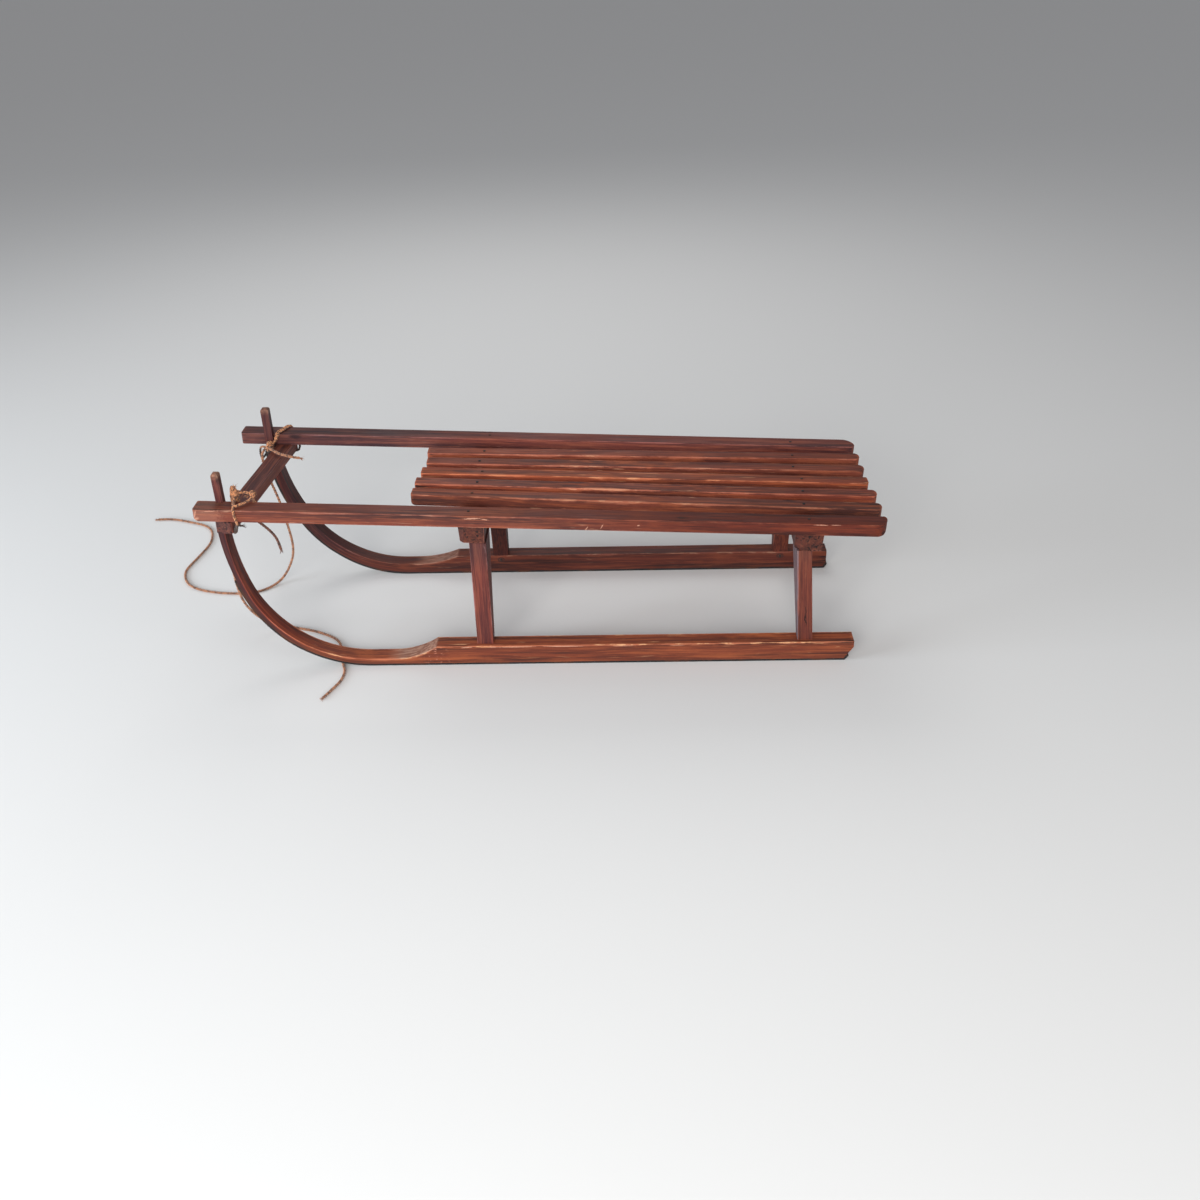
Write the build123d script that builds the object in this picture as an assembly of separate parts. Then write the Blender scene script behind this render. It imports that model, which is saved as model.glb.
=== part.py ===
"""Traditional pulled wooden sled: a slatted deck on two bent runners, with a lashed front and loose pull cords."""
from build123d import *
import math
import os

os.makedirs("parts", exist_ok=True)

# The frame: +X towards the rear of the sled, +Y to its right-hand side, +Z up, in millimetres.
# The origin is on the floor, below the middle of the deck.
# A place is a distance behind the deck's front end.

# Deck
deck_length = 1002
deck_width = 306
deck_front_height = 274
deck_rear_height = 231

# Side rails
rail_width = 30.5
rail_thickness = 19
rail_front_corner = 4
rail_rear_outer_corner = 22
rail_rear_inner_corner = 7
rail_rear_nose = 8

# Slats between the rails, closer together at their front ends
slat_width = 24
slat_thickness = 18
slat_front_corner = 3
slat_front_nose = 7
slat_rear_nose = 4
slat_front_place = 310
slat_front_pitch = 37
slat_rear_place = 1000
slat_rear_pitch = 44.5

# Bolsters: the two cross bars that carry the deck on the posts
bolster_length = 296
bolster_top_width = 40
bolster_height = 27.5
bolster_corner_cut = 9.5

# Runners, straight and full at the rear, scooped to a scarf, then thinned and bent up at the front
runner_track = 312
runner_width = 27.5
runner_height = 30
runner_rear_place = 970
scarf_rear_place = 331
scarf_length = 69
neck_rise = 5
lean_start_height = 40

# Pegs at the tips of the runners, let into the inner faces of the rails
peg_width = 12
peg_height = 44
peg_let_in = 5
peg_crown = 4.5
peg_clearance = 0.3

# Iron soles under the runners, turned up a little over the heels
sole_thickness = 4.5
sole_width = 24
sole_curl = 7

# Posts, tapered across the sled and tenoned at both ends
post_setback = 7
post_head_depth = 54
tenon_length = 14
tenon_foot_depth = 11
tenon_head_depth = 36
tenon_height = 15
mortise_clearance = 0.25
mortise_bottom_clearance = 1

# Front crossbar under the rails, let over the left neck and bearing on the right one
crossbar_length = 306
crossbar_width = 24.5
crossbar_thickness = 18
crossbar_corner_radius = 3
crossbar_front_place = 43.5
crossbar_skew = 26
neck_clearance = 1

# Long edges are worn round
edge_wear = 1.5

# Cord
cord_diameter = 4.5
cord_clearance = 0.3
cord_bend = 0.45
lashing_corner_radius = 3
lashing_slack = 1.5
knot_radius = 6.5
knot_rounding = 5

# Values that follow from the sizes above
deck_front = -deck_length / 2
deck_slope = math.degrees(math.asin((deck_front_height - deck_rear_height) / deck_length))
deck_frame = Pos(deck_front, 0, deck_front_height) * Rot(0, deck_slope, 0)
rail_inner = deck_width / 2 - rail_width
runner_outer = runner_track / 2
runner_inner = runner_outer - runner_width
runner_top = sole_thickness + runner_height
peg_inner = rail_inner + peg_let_in - peg_width
lean = runner_inner - peg_inner
cord_reach = cord_diameter / 2 + cord_clearance
knot_reach = knot_radius + cord_clearance

# side, sign along Y, place of the rail's front end and rear end, radius of its lower front edge
rails = [
    ("left", -1, 0, 1006, 8.5),
    ("right", 1, -3, 1001.5, 3),
]

# Values of each runner: thicknesses are those where the bend starts, where its two arcs meet and at the neck
runners = {
    "left": dict(
        sign=-1, neck_front=27.5, neck_thickness=10.5, joint_thickness=6.5, start_thickness=9,
        bend_radius=192, bend_angle=67, heel_length=14, heel_height=20, sole_top=150,
    ),
    "right": dict(
        sign=1, neck_front=37.5, neck_thickness=12.5, joint_thickness=12.5, start_thickness=16,
        bend_radius=190, bend_angle=58, heel_length=5, heel_height=8, sole_top=243,
    ),
}

# place of the front end, place of the rear end, radius of the rear corners, from the left-hand slat to the right
slats = [
    (305.5, 1006, 10),
    (306, 1006.5, 10),
    (310, 1001, 5),
    (313.5, 1002.5, 10),
    (310, 1002.5, 10),
]

# Knots of the two lashings: place, distance from the middle, bottom (from the deck's top) and height
knots = {
    "left": (52, rail_inner - knot_reach, -18.5, 38),
    "right": (45.5, peg_inner - knot_reach, -27, 20),
}

# Loose loop of the left-hand knot: points measured from the deck's front end, the middle and the deck's top
bow = [(53, -116, 4), (55, -146, 3.5), (67, -142, 4), (77, -128, 6), (78, -112, 7), (67, -102, 6), (52, -112, 4)]

# row, place of the front edge, bottom width, side of the slope (-1 front, 1 rear)
bolsters = [
    ("front", 380, 36.5, -1),
    ("rear", 874.5, 38.5, 1),
]

# name, sign along Y, place of the foot's front face, foot length, place of the head's front face, head length
posts = [
    ("front_left", -1, 394, 25, 395, 25),
    ("front_right", 1, 394, 26, 394, 26),
    ("rear_left", -1, 884.5, 23, 874.5, 22),
    ("rear_right", 1, 877, 26, 876, 26),
]


def under_deck_height(distance, drop):
    """Height of a plane parallel to the deck at a place, this far below the deck's top."""
    slope = math.radians(deck_slope)
    return deck_front_height - distance * math.tan(slope) - drop / math.cos(slope)


def write(name, solid):
    """Writes one sub-part to its own file."""
    solid.label = name
    export_step(solid, f"parts/{name}.step")


def plank(length, width, thickness, front_corner, rear_corners, noses):
    """A bar along X with its top at z = 0: round corners in plan, round lower ends, worn long edges."""
    plan = Rectangle(length, width, align=(Align.MIN, Align.CENTER))
    front_corners = (front_corner, front_corner)
    for x, radii in ((0, front_corners), (length, rear_corners)):
        for y, radius in zip((-width / 2, width / 2), radii):
            plan = fillet(plan.vertices().sort_by_distance((x, y, 0))[0], radius)
    side = make_face(Polyline((0, 0), (length, 0), (length, -thickness), (0, -thickness), close=True))
    for x, radius in zip((0, length), noses):
        side = fillet(side.vertices().sort_by_distance((x, -thickness, 0))[0], radius)
    solid = extrude(Plane.XZ * side, width / 2, both=True)
    solid = fillet(solid.edges().filter_by(Axis.X), edge_wear)
    return solid & extrude(plan, -thickness)


def rail(side, sign, front_place, rear_place, nose_radius):
    """A side rail with the notch for the peg in its inner face."""
    rear_corners = (rail_rear_outer_corner, rail_rear_inner_corner)[::-sign]
    noses = (nose_radius, rail_rear_nose)
    length = rear_place - front_place
    solid = plank(length, rail_width, rail_thickness, rail_front_corner, rear_corners, noses)
    solid = deck_frame * Pos(front_place, sign * (deck_width - rail_width) / 2, 0) * solid
    notch = Box(
        runners[side]["neck_thickness"] + 2 * peg_clearance,
        2 * (peg_let_in + peg_clearance),
        4 * rail_thickness,
        align=(Align.MIN, Align.CENTER, Align.CENTER),
    )
    notch_front = deck_front + runners[side]["neck_front"] - peg_clearance
    return solid - Pos(notch_front, sign * rail_inner, deck_front_height) * notch


def slat(index, front_place, rear_place, rear_corner):
    """A slat, counted from the middle one, turned a little because the slats close up at the front."""
    spread = index * (slat_rear_pitch - slat_front_pitch) / (slat_rear_place - slat_front_place)
    front_y = index * slat_front_pitch + spread * (front_place - slat_front_place)
    turn = math.atan(spread)
    length = (rear_place - front_place) / math.cos(turn)
    noses = (slat_front_nose, slat_rear_nose)
    solid = plank(length, slat_width, slat_thickness, slat_front_corner, (rear_corner, rear_corner), noses)
    drop = rail_thickness - slat_thickness
    return deck_frame * Pos(front_place, front_y, -drop) * Rot(0, 0, math.degrees(turn)) * solid


def bolster(front_place, bottom_width, slope_side):
    """A cross bar under the deck with one sloping side and cut corners."""
    inset = bolster_top_width - bottom_width
    front_inset = inset if slope_side < 0 else 0
    rear_inset = inset if slope_side > 0 else 0
    outline = Polyline(
        (0, 0),
        (bolster_top_width, 0),
        (bolster_top_width - rear_inset, -bolster_height),
        (front_inset, -bolster_height),
        close=True,
    )
    solid = extrude(Plane.XZ * make_face(outline), bolster_length / 2, both=True)
    solid = fillet(solid.edges().filter_by(Axis.Y), edge_wear)
    plan = Rectangle(bolster_top_width, bolster_length, align=(Align.MIN, Align.CENTER))
    plan = chamfer(plan.vertices().sort_by(Axis.X)[:2], bolster_corner_cut)
    solid = solid & extrude(plan, -bolster_height)
    return deck_frame * Pos(front_place, 0, -rail_thickness) * solid


def post_seats(sign, foot_place, foot_length, head_place, head_length):
    """Middle of a post's foot on the runner and of its head, a little above the underside of the bolster."""
    outer = runner_outer - post_setback
    foot_y = sign * (outer - (runner_width - post_setback) / 2)
    head_y = sign * (outer - post_head_depth / 2)
    head_height = under_deck_height(head_place, rail_thickness + bolster_height) + edge_wear
    foot = Pos(deck_front + foot_place + foot_length / 2, foot_y, runner_top)
    head = Pos(deck_front + head_place + head_length / 2, head_y, head_height)
    return foot, head


def tenons(foot, head, side_clearance, end_clearance):
    """The two tenon blocks of a post, or its two mortises when given clearances."""
    reach = tenon_height + end_clearance
    length = tenon_length + 2 * side_clearance
    low = Box(length, tenon_foot_depth + 2 * side_clearance, reach, align=(Align.CENTER, Align.CENTER, Align.MAX))
    high = Box(length, tenon_head_depth + 2 * side_clearance, 2 * reach)
    return foot * low, head * high


def post(foot, head, foot_length, head_length):
    """A post between runner and bolster, tapered across the sled, with a tenon at each end."""
    low = foot * Rectangle(foot_length, runner_width - post_setback)
    high = head * Rectangle(head_length, post_head_depth)
    body = loft([low.face(), high.face()], ruled=True)
    uprights = body.edges().filter_by(lambda edge: edge.bounding_box().size.Z > runner_height)
    body = fillet(uprights, edge_wear)
    above = Box(deck_length, 2 * deck_width, deck_front_height, align=(Align.MIN, Align.CENTER, Align.MIN))
    body = body - deck_frame * Pos(0, 0, -rail_thickness - bolster_height) * above
    low_tenon, high_tenon = tenons(foot, head, 0, 0)
    return body + low_tenon + high_tenon


def bend_arcs(side, offsets):
    """Start, middle, joint, middle and end of the two bend arcs, each offset inwards from the sole's face.

    The lower arc starts flat and the upper arc ends upright, just under the rail.
    """
    neck_front = runners[side]["neck_front"]
    lower_radius = runners[side]["bend_radius"]
    lower_angle = runners[side]["bend_angle"]
    lower_sine = math.sin(math.radians(lower_angle))
    lower_cosine = math.cos(math.radians(lower_angle))
    bend_top = under_deck_height(neck_front, rail_thickness) - neck_rise
    joint_height = sole_thickness + lower_radius * (1 - lower_cosine)
    upper_radius = (bend_top - joint_height) / lower_cosine
    start_x = deck_front + neck_front + lower_radius * lower_sine + upper_radius * (1 - lower_sine)
    lower_centre = (start_x, sole_thickness + lower_radius)
    upper_centre = (deck_front + neck_front + upper_radius, bend_top)
    turns = [
        (lower_centre, lower_radius, 0),
        (lower_centre, lower_radius, lower_angle / 2),
        (lower_centre, lower_radius, lower_angle),
        (upper_centre, upper_radius, (lower_angle + 90) / 2),
        (upper_centre, upper_radius, 90),
    ]
    points = []
    for (centre, radius, angle), offset in zip(turns, offsets):
        turn = math.radians(angle)
        reach = radius - offset
        points.append((centre[0] - reach * math.sin(turn), centre[1] - reach * math.cos(turn)))
    return points


def runner_blank(side):
    """Side outline of a runner, extruded to more than its width."""
    start_thickness = runners[side]["start_thickness"]
    joint_thickness = runners[side]["joint_thickness"]
    neck_thickness = runners[side]["neck_thickness"]
    heel_length = runners[side]["heel_length"]
    heel_height = runners[side]["heel_height"]
    outer = bend_arcs(side, [0] * 5)
    inner = bend_arcs(side, [
        start_thickness,
        (start_thickness + joint_thickness) / 2,
        joint_thickness,
        (joint_thickness + neck_thickness) / 2,
        neck_thickness,
    ])
    rise = runner_height - start_thickness
    scarf_radius = (scarf_length ** 2 + rise ** 2) / (2 * rise)
    scarf_half = math.asin(scarf_length / scarf_radius) / 2
    scarf_front = deck_front + scarf_rear_place - scarf_length
    scarf_low = sole_thickness + start_thickness
    scarf_middle = (
        scarf_front + scarf_radius * math.sin(scarf_half),
        scarf_low + scarf_radius * (1 - math.cos(scarf_half)),
    )
    scarf_rear = (deck_front + scarf_rear_place, runner_top)
    rear = deck_front + runner_rear_place
    peg_top = deck_front_height + peg_height
    edges = [
        Line((rear - heel_length, sole_thickness), outer[0]),
        ThreePointArc(outer[0], outer[1], outer[2]),
        ThreePointArc(outer[2], outer[3], outer[4]),
        Line(outer[4], (outer[4][0], peg_top)),
        Line((outer[4][0], peg_top), (inner[4][0], peg_top)),
        Line((inner[4][0], peg_top), inner[4]),
        ThreePointArc(inner[4], inner[3], inner[2]),
        ThreePointArc(inner[2], inner[1], inner[0]),
        Line(inner[0], (scarf_front, scarf_low)),
        ThreePointArc((scarf_front, scarf_low), scarf_middle, scarf_rear),
        Line(scarf_rear, (rear, runner_top)),
        Line((rear, runner_top), (rear, sole_thickness + heel_height)),
        Line((rear, sole_thickness + heel_height), (rear - heel_length, sole_thickness)),
    ]
    return extrude(Plane.XZ * make_face(edges), runner_outer, both=True)


def leaning_slab(sign, width, top):
    """Front outline of a runner or sole, upright at the foot and leaning inwards above, along the whole sled."""
    margin = (runner_width - width) / 2
    outer = runner_outer - margin
    inner = runner_inner + margin
    lean_top = deck_front_height - rail_thickness
    outline = Polyline(
        (sign * outer, -1),
        (sign * outer, lean_start_height),
        (sign * (outer - lean), lean_top),
        (sign * (outer - lean), top),
        (sign * (inner - lean), top),
        (sign * (inner - lean), lean_top),
        (sign * inner, lean_start_height),
        (sign * inner, -1),
        close=True,
    )
    return extrude(Plane.YZ * make_face(outline), deck_length, both=True)


def runner(side):
    """A runner with its neck under the rail and its peg beside it."""
    sign = runners[side]["sign"]
    solid = runner_blank(side) & leaning_slab(sign, runner_width, 2 * deck_front_height)
    shoulder = Box(deck_length, runner_width, 2 * peg_height + rail_thickness, align=(Align.MIN, Align.MIN, Align.MIN))
    if sign < 0:
        shoulder = mirror(shoulder, Plane.XZ)
    shoulder = Pos(-deck_length / 2, sign * (peg_inner + peg_width), -rail_thickness) * shoulder
    solid = solid - deck_frame * shoulder
    crown = solid.faces().sort_by(Axis.Z)[-1]
    return fillet(crown.edges(), peg_crown)


def sole(side):
    """An iron strip under a runner that runs up its bent front and curls over the heel."""
    heel_length = runners[side]["heel_length"]
    outer = bend_arcs(side, [-sole_thickness] * 5)
    inner = bend_arcs(side, [0] * 5)
    heel = Vector(deck_front + runner_rear_place - heel_length, sole_thickness)
    along = Vector(heel_length, runners[side]["heel_height"]).normalized()
    across = Vector(along.Y, -along.X) * sole_thickness
    inner_end = heel + along * sole_curl
    outer_end = inner_end + across
    corner = outer_end - along * (outer_end.Y / along.Y)
    edges = [
        Line((corner.X, 0), outer[0]),
        ThreePointArc(outer[0], outer[1], outer[2]),
        ThreePointArc(outer[2], outer[3], outer[4]),
        Line(outer[4], inner[4]),
        ThreePointArc(inner[4], inner[3], inner[2]),
        ThreePointArc(inner[2], inner[1], inner[0]),
        Line(inner[0], (heel.X, heel.Y)),
        Line((heel.X, heel.Y), (inner_end.X, inner_end.Y)),
        Line((inner_end.X, inner_end.Y), (outer_end.X, outer_end.Y)),
        Line((outer_end.X, outer_end.Y), (corner.X, 0)),
    ]
    strip = extrude(Plane.XZ * make_face(edges), runner_outer, both=True)
    below_top = Box(2 * deck_length, deck_width + runner_track, 2 * runners[side]["sole_top"])
    return strip & leaning_slab(runners[side]["sign"], sole_width, 2 * deck_front_height) & below_top


crossbar_turn = math.degrees(math.asin(crossbar_skew / crossbar_length))


def crossbar_rear(y):
    """Place of the crossbar's rear edge at this y."""
    return crossbar_front_place + crossbar_width + y * math.tan(math.radians(crossbar_turn))


def crossbar():
    """A straight bar under the rails, set a little askew and notched where it passes over the left neck."""
    plan = Rectangle(crossbar_width, crossbar_length, align=(Align.MIN, Align.CENTER))
    plan = fillet(plan.vertices(), crossbar_corner_radius)
    solid = extrude(plan, -crossbar_thickness)
    solid = deck_frame * Pos(crossbar_front_place, 0, -rail_thickness) * Rot(0, 0, -crossbar_turn) * solid
    neck_rear = deck_front + runners["left"]["neck_front"] + runners["left"]["neck_thickness"] + neck_clearance
    notch = leaning_slab(-1, runner_width + 2 * neck_clearance, 2 * deck_front_height)
    notch = notch & Pos(neck_rear - deck_length, 0, 0) * Box(2 * deck_length, 2 * deck_width, 4 * deck_front_height)
    return solid - notch


def corner_radii(points):
    """The largest arcs that the runs of a cord's route leave room for."""
    runs = [Vector(*end) - Vector(*start) for start, end in zip(points, points[1:])]
    radii = []
    for before, after in zip(runs, runs[1:]):
        half_turn = math.radians(before.get_angle(after)) / 2
        radii.append(cord_bend * min(before.length, after.length) / math.tan(half_turn))
    return radii


def cord_tube(points, largest_radius):
    """A cord along straight runs joined by arcs, with its length and radii."""
    radii = [min(radius, largest_radius) for radius in corner_radii(points)]
    path = FilletPolyline(*points, radius=radii)
    section = Plane(origin=path @ 0, z_dir=path % 0) * Circle(cord_diameter / 2)
    return sweep(section, path), path.length, radii


def lashing_route(name):
    """Points of a lashing's turn, from its knot over the rail, behind and under the crossbar, and back.

    A point is its place, its distance from the middle and its height from the deck's top. The small steps
    added to the seats on the wood are the slack of a turn laid by hand.
    """
    knot_place, knot_y, knot_bottom, knot_height = knots[name]
    outer = deck_width / 2 + cord_reach
    inner = rail_inner - cord_reach
    beside = peg_inner - cord_reach
    outside = runner_outer - lean + cord_reach + lashing_slack
    above = cord_reach
    over_bar = -rail_thickness + cord_reach
    under_bar = -rail_thickness - crossbar_thickness - cord_reach
    if name == "left":
        front = crossbar_rear(-beside) - crossbar_width - cord_reach
        behind = crossbar_rear(-outside) + cord_reach
        return [
            (knot_place, knot_y, above),
            (knot_place + 5, rail_inner, above),
            (knot_place + 2.5, outer, above),
            (knot_place + 8, outer, -rail_thickness - above),
            (behind, outside, under_bar),
            (behind - 13, beside - 1, under_bar),
            (front, beside - 1, under_bar),
            (front, beside - 1, over_bar),
            (knot_place, knot_y, over_bar + above),
        ]
    neck_front = runners[name]["neck_front"]
    front = neck_front - sole_thickness - cord_reach
    peg_rear = neck_front + runners[name]["neck_thickness"] + cord_reach + peg_clearance
    return [
        (knot_place, knot_y, -18),
        (peg_rear, inner - 7, -13),
        (peg_rear + 1, inner, -6),
        (peg_rear + 4, inner, above),
        (peg_rear + 16, outer, above),
        (crossbar_rear(outer) + cord_reach, outer, -rail_thickness - above),
        (crossbar_rear(outside) + cord_reach, outside, under_bar),
        (front, outside, under_bar),
        (front - 1.5, outside - 19, under_bar - 4.5),
        (front - 3, beside + 5, under_bar - 1),
        (front - 3, beside + 5, -rail_thickness - above),
        (neck_front - 2, beside - 2, -18),
        (knot_place, knot_y, -20),
    ]


def lashing(name):
    """A knot with one turn of cord around rail and crossbar."""
    sign = runners[name]["sign"]
    knot_place, knot_y, knot_bottom, knot_height = knots[name]
    solid = Cylinder(knot_radius, knot_height, align=(Align.CENTER, Align.CENTER, Align.MIN))
    solid = fillet(solid.edges().filter_by(GeomType.CIRCLE), knot_rounding)
    solid = Pos(knot_place, sign * knot_y, knot_bottom) * solid
    route = [(x, sign * y, z) for x, y, z in lashing_route(name)]
    solid = solid + cord_tube(route, lashing_corner_radius)[0]
    return deck_frame * solid


# Free cords: side of the lashing that each starts in, then the points of its route to its loose end.
# A point is its place behind the deck's front end, its Y, and its height above the floor.
floor_height = cord_diameter / 2 + 0.25
cords = {
    # From the right-hand lashing down to the floor, then forward in a wide S
    "cord_right": ("right", [
        (39, 110.4, 254), (31, 110.9, 246.5), (28.2, 111.5, 235.5), (28.6, 111.4, 225), (32.6, 110, 204),
        (39.3, 108.5, 180), (45.4, 108, 156), (51.3, 108, 114), (55.3, 107, 78), (52.6, 107.3, 55.3),
        (44.9, 109.4, 36.1), (34.2, 109.4, 16.9), (21.7, 103.5, 3.6), (9.6, 84.8, floor_height),
        (-6.4, 71.7, floor_height), (-26.5, 66.7, floor_height), (-45.6, 66.2, floor_height),
        (-73.7, 68.9, floor_height), (-101.8, 76.5, floor_height), (-122.9, 87.1, floor_height),
        (-138.9, 101.2, floor_height), (-152, 125.8, floor_height), (-156.7, 147, floor_height),
        (-155, 165.1, floor_height), (-148, 201.2, floor_height), (-141.7, 242.4, floor_height),
        (-145.3, 273.5, floor_height), (-155.3, 301.6, floor_height), (-170.1, 318.4, floor_height),
        (-186.1, 327, floor_height), (-207.7, 336, floor_height), (-230.3, 344.8, floor_height),
        (-253.4, 349.8, floor_height), (-272.4, 347.8, floor_height),
    ]),
    # From the left-hand lashing down behind the neck, then along the floor and under the runner's bend
    "cord_left": ("left", [
        (30.5, -111.8, 243), (22.3, -111.7, 230), (24, -110, 200), (24.4, -108, 167), (23.3, -104, 134),
        (22, -97, 108), (20.7, -87, 86), (21.3, -73.5, 61.7), (28.3, -56.6, 32.9), (48, -46.9, 9.4),
        (75.9, -43.2, floor_height), (108.8, -52.7, floor_height), (130.4, -62.4, floor_height),
        (150.9, -74.7, floor_height), (164.6, -88.9, floor_height), (172.3, -107.9, floor_height),
        (175.8, -131, floor_height), (182.3, -151.1, floor_height), (189.8, -172.2, floor_height),
        (189.3, -195.5, floor_height), (181.3, -216.4, floor_height), (170, -241.7, floor_height),
    ]),
    # Short loose end that hangs behind the crossbar
    "tail_left": ("left", [
        (56, -115.2, 257), (66, -114, 253.5), (73, -113, 246), (78, -112.5, 233.5), (88, -110, 222),
        (97, -109, 210), (102.5, -108.5, 197), (104, -108, 182),
    ]),
    # Short loose end across the top of the crossbar
    "tail_right": ("right", [
        (43.5, 111.5, 255.8), (46.3, 100, 257), (53.3, 91.4, 257.3), (62.3, 81.5, 257.5),
        (70.3, 75.2, 257.2), (79.6, 70, 256.8), (88.3, 67, 256), (96.2, 66.1, 254.5), (103, 67.2, 253),
    ]),
}

parts = {}
for name, *sizes in rails:
    parts[f"rail_{name}"] = rail(name, *sizes)

for name in runners:
    parts[f"runner_{name}"] = runner(name)
    parts[f"sole_{name}"] = sole(name)
    parts[f"lashing_{name}"] = lashing(name)

parts["lashing_left"] += deck_frame * cord_tube(bow, max(corner_radii(bow)))[0]

for index, sizes in enumerate(slats):
    parts[f"slat_{index + 1}"] = slat(index - (len(slats) - 1) / 2, *sizes)

for row, *sizes in bolsters:
    parts[f"bolster_{row}"] = bolster(*sizes)

for name, sign, foot_place, foot_length, head_place, head_length in posts:
    row, side_name = name.split("_")
    foot, head = post_seats(sign, foot_place, foot_length, head_place, head_length)
    low_mortise, high_mortise = tenons(foot, head, mortise_clearance, mortise_bottom_clearance)
    parts[f"post_{name}"] = post(foot, head, foot_length, head_length)
    parts[f"runner_{side_name}"] -= low_mortise
    parts[f"bolster_{row}"] -= high_mortise

parts["crossbar"] = crossbar()

for name, (side_name, route) in cords.items():
    points = [(deck_front + x, y, z) for x, y, z in route]
    tube, length, radii = cord_tube(points, max(corner_radii(points)))
    section_volume = math.pi * cord_diameter ** 2 / 4 * length
    print(name, "length", round(length, 1), "volume ratio", round(tube.volume / section_volume, 4))
    print("    radii", [round(radius, 1) for radius in radii])
    parts[name] = tube - parts[f"lashing_{side_name}"]

for name, solid in parts.items():
    write(name, solid)
    print(name, round(solid.volume / 1000, 1), len(solid.solids()))
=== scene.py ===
"""Dresses a pulled wooden slatted sled with stained wood, iron, twisted cord, nails and wear."""

import math
import random

import bpy
from bpy.props import FloatProperty, FloatVectorProperty, PointerProperty
from mathutils import Matrix, Vector


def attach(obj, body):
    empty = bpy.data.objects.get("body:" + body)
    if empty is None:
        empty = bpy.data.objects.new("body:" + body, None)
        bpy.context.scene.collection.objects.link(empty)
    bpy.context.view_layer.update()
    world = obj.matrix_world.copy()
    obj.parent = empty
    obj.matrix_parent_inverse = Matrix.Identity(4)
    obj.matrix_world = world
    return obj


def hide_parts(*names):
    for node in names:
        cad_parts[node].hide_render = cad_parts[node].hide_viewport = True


bl_info = {
    "name": "Slatted Sled Dressing",
    "version": (1, 0, 0),
    "blender": (4, 5, 0),
    "location": "View3D > Sidebar > Sled",
    "description": "Dresses a pulled wooden slatted sled with stained wood, iron, cord and nails",
    "category": "Object",
}

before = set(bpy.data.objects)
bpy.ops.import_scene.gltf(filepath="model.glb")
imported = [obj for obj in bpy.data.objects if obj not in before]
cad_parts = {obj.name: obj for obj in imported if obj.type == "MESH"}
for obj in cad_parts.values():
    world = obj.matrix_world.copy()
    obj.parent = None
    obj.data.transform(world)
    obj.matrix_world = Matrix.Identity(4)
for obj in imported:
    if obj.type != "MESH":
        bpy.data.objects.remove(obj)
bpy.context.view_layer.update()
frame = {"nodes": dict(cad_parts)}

# The deck: its top plane starts at this front end and falls to the rear. A place is a distance behind it.
DECK_FRONT = Vector((-0.501, 0.0, 0.274))
DECK_FALL = 0.043
DECK_LENGTH = 1.002
DECK_SLOPE = math.asin(DECK_FALL / DECK_LENGTH)
DECK_MATRIX = Matrix.Translation(DECK_FRONT) @ Matrix.Rotation(DECK_SLOPE, 4, "Y")
RAIL_WIDTH = 0.0305
RAIL_THICKNESS = 0.019
RAIL_MIDDLE_Y = 0.13775
# side: sign, places of the front and rear ends
RAILS = {"left": (-1, 0.0, 1.006), "right": (1, -0.003, 1.0015)}
# Scratches on the left rail's outer side, from its middle: along, up, half length, half width, turn, strength
RAIL_MARKS = [
    (-0.488, 0.0, 0.03, 0.016, 0.0, 0.14), (-0.499, -0.006, 0.005, 0.003, 0.8, 0.5),
    (-0.499, 0.003, 0.006, 0.001, 1.3, 0.5),
    (-0.099, 0.0055, 0.013, 0.0011, 0.05, 0.75), (-0.081, 0.0045, 0.006, 0.0008, -0.1, 0.75),
    (0.066, -0.0065, 0.004, 0.0009, 1.0, 0.75), (0.0885, -0.002, 0.0045, 0.0008, 1.1, 0.75),
    (0.079, -0.0085, 0.014, 0.0006, 0.0, 0.75), (0.141, 0.0005, 0.002, 0.0011, 0.3, 0.7),
    (0.404, 0.008, 0.011, 0.0006, 0.0, 0.75), (0.426, 0.0085, 0.008, 0.0005, 0.0, 0.75),
    (-0.478, 0.0075, 0.012, 0.0006, 0.1, 0.6),
]
# Scratches along the upper edge of the left runner's outer side: x, z, half length, half width,
# turn, strength
RUNNER_MARKS = [
    (-0.123, 0.0326, 0.009, 0.0009, 0.06, 0.8), (-0.083, 0.0326, 0.007, 0.0009, 0.0, 0.7),
    (-0.046, 0.0324, 0.032, 0.0008, 0.008, 0.8), (0.026, 0.0325, 0.032, 0.0009, -0.006, 0.8),
    (0.118, 0.0318, 0.018, 0.0007, 0.0, 0.5), (0.2, 0.0315, 0.012, 0.0007, 0.02, 0.45),
]
SLAT_WIDTH = 0.024
SLAT_THICKNESS = 0.018
SLAT_PITCHES = (0.037, 0.0445)
SLAT_PLACES = (0.31, 1.0)
SLATS = [(0.3055, 1.006), (0.306, 1.0065), (0.31, 1.001), (0.3135, 1.0025), (0.31, 1.0025)]
BOLSTER_SIZE = (0.296, 0.04, 0.0275)
BOLSTER_PLACES = {"bolster_front": 0.38, "bolster_rear": 0.8745}
CROSSBAR_SIZE = (0.306, 0.0245, 0.018)
CROSSBAR_PLACE = 0.0435
CROSSBAR_SKEW = 0.026
CROSSBAR_TURN = math.asin(CROSSBAR_SKEW / CROSSBAR_SIZE[0])

# Posts: sign, place of the foot's front face, length of the foot, place of the head's front face
POSTS = {
    "post_front_left": (-1, 0.394, 0.025, 0.395),
    "post_front_right": (1, 0.394, 0.026, 0.394),
    "post_rear_left": (-1, 0.8845, 0.0225, 0.8745),
    "post_rear_right": (1, 0.877, 0.026, 0.876),
}
POST_OUTER = 0.149
POST_FOOT_DEPTH = 0.0205
POST_HEAD_DEPTH = 0.054
POST_HEIGHTS = (0.0345, 0.222)

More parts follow.
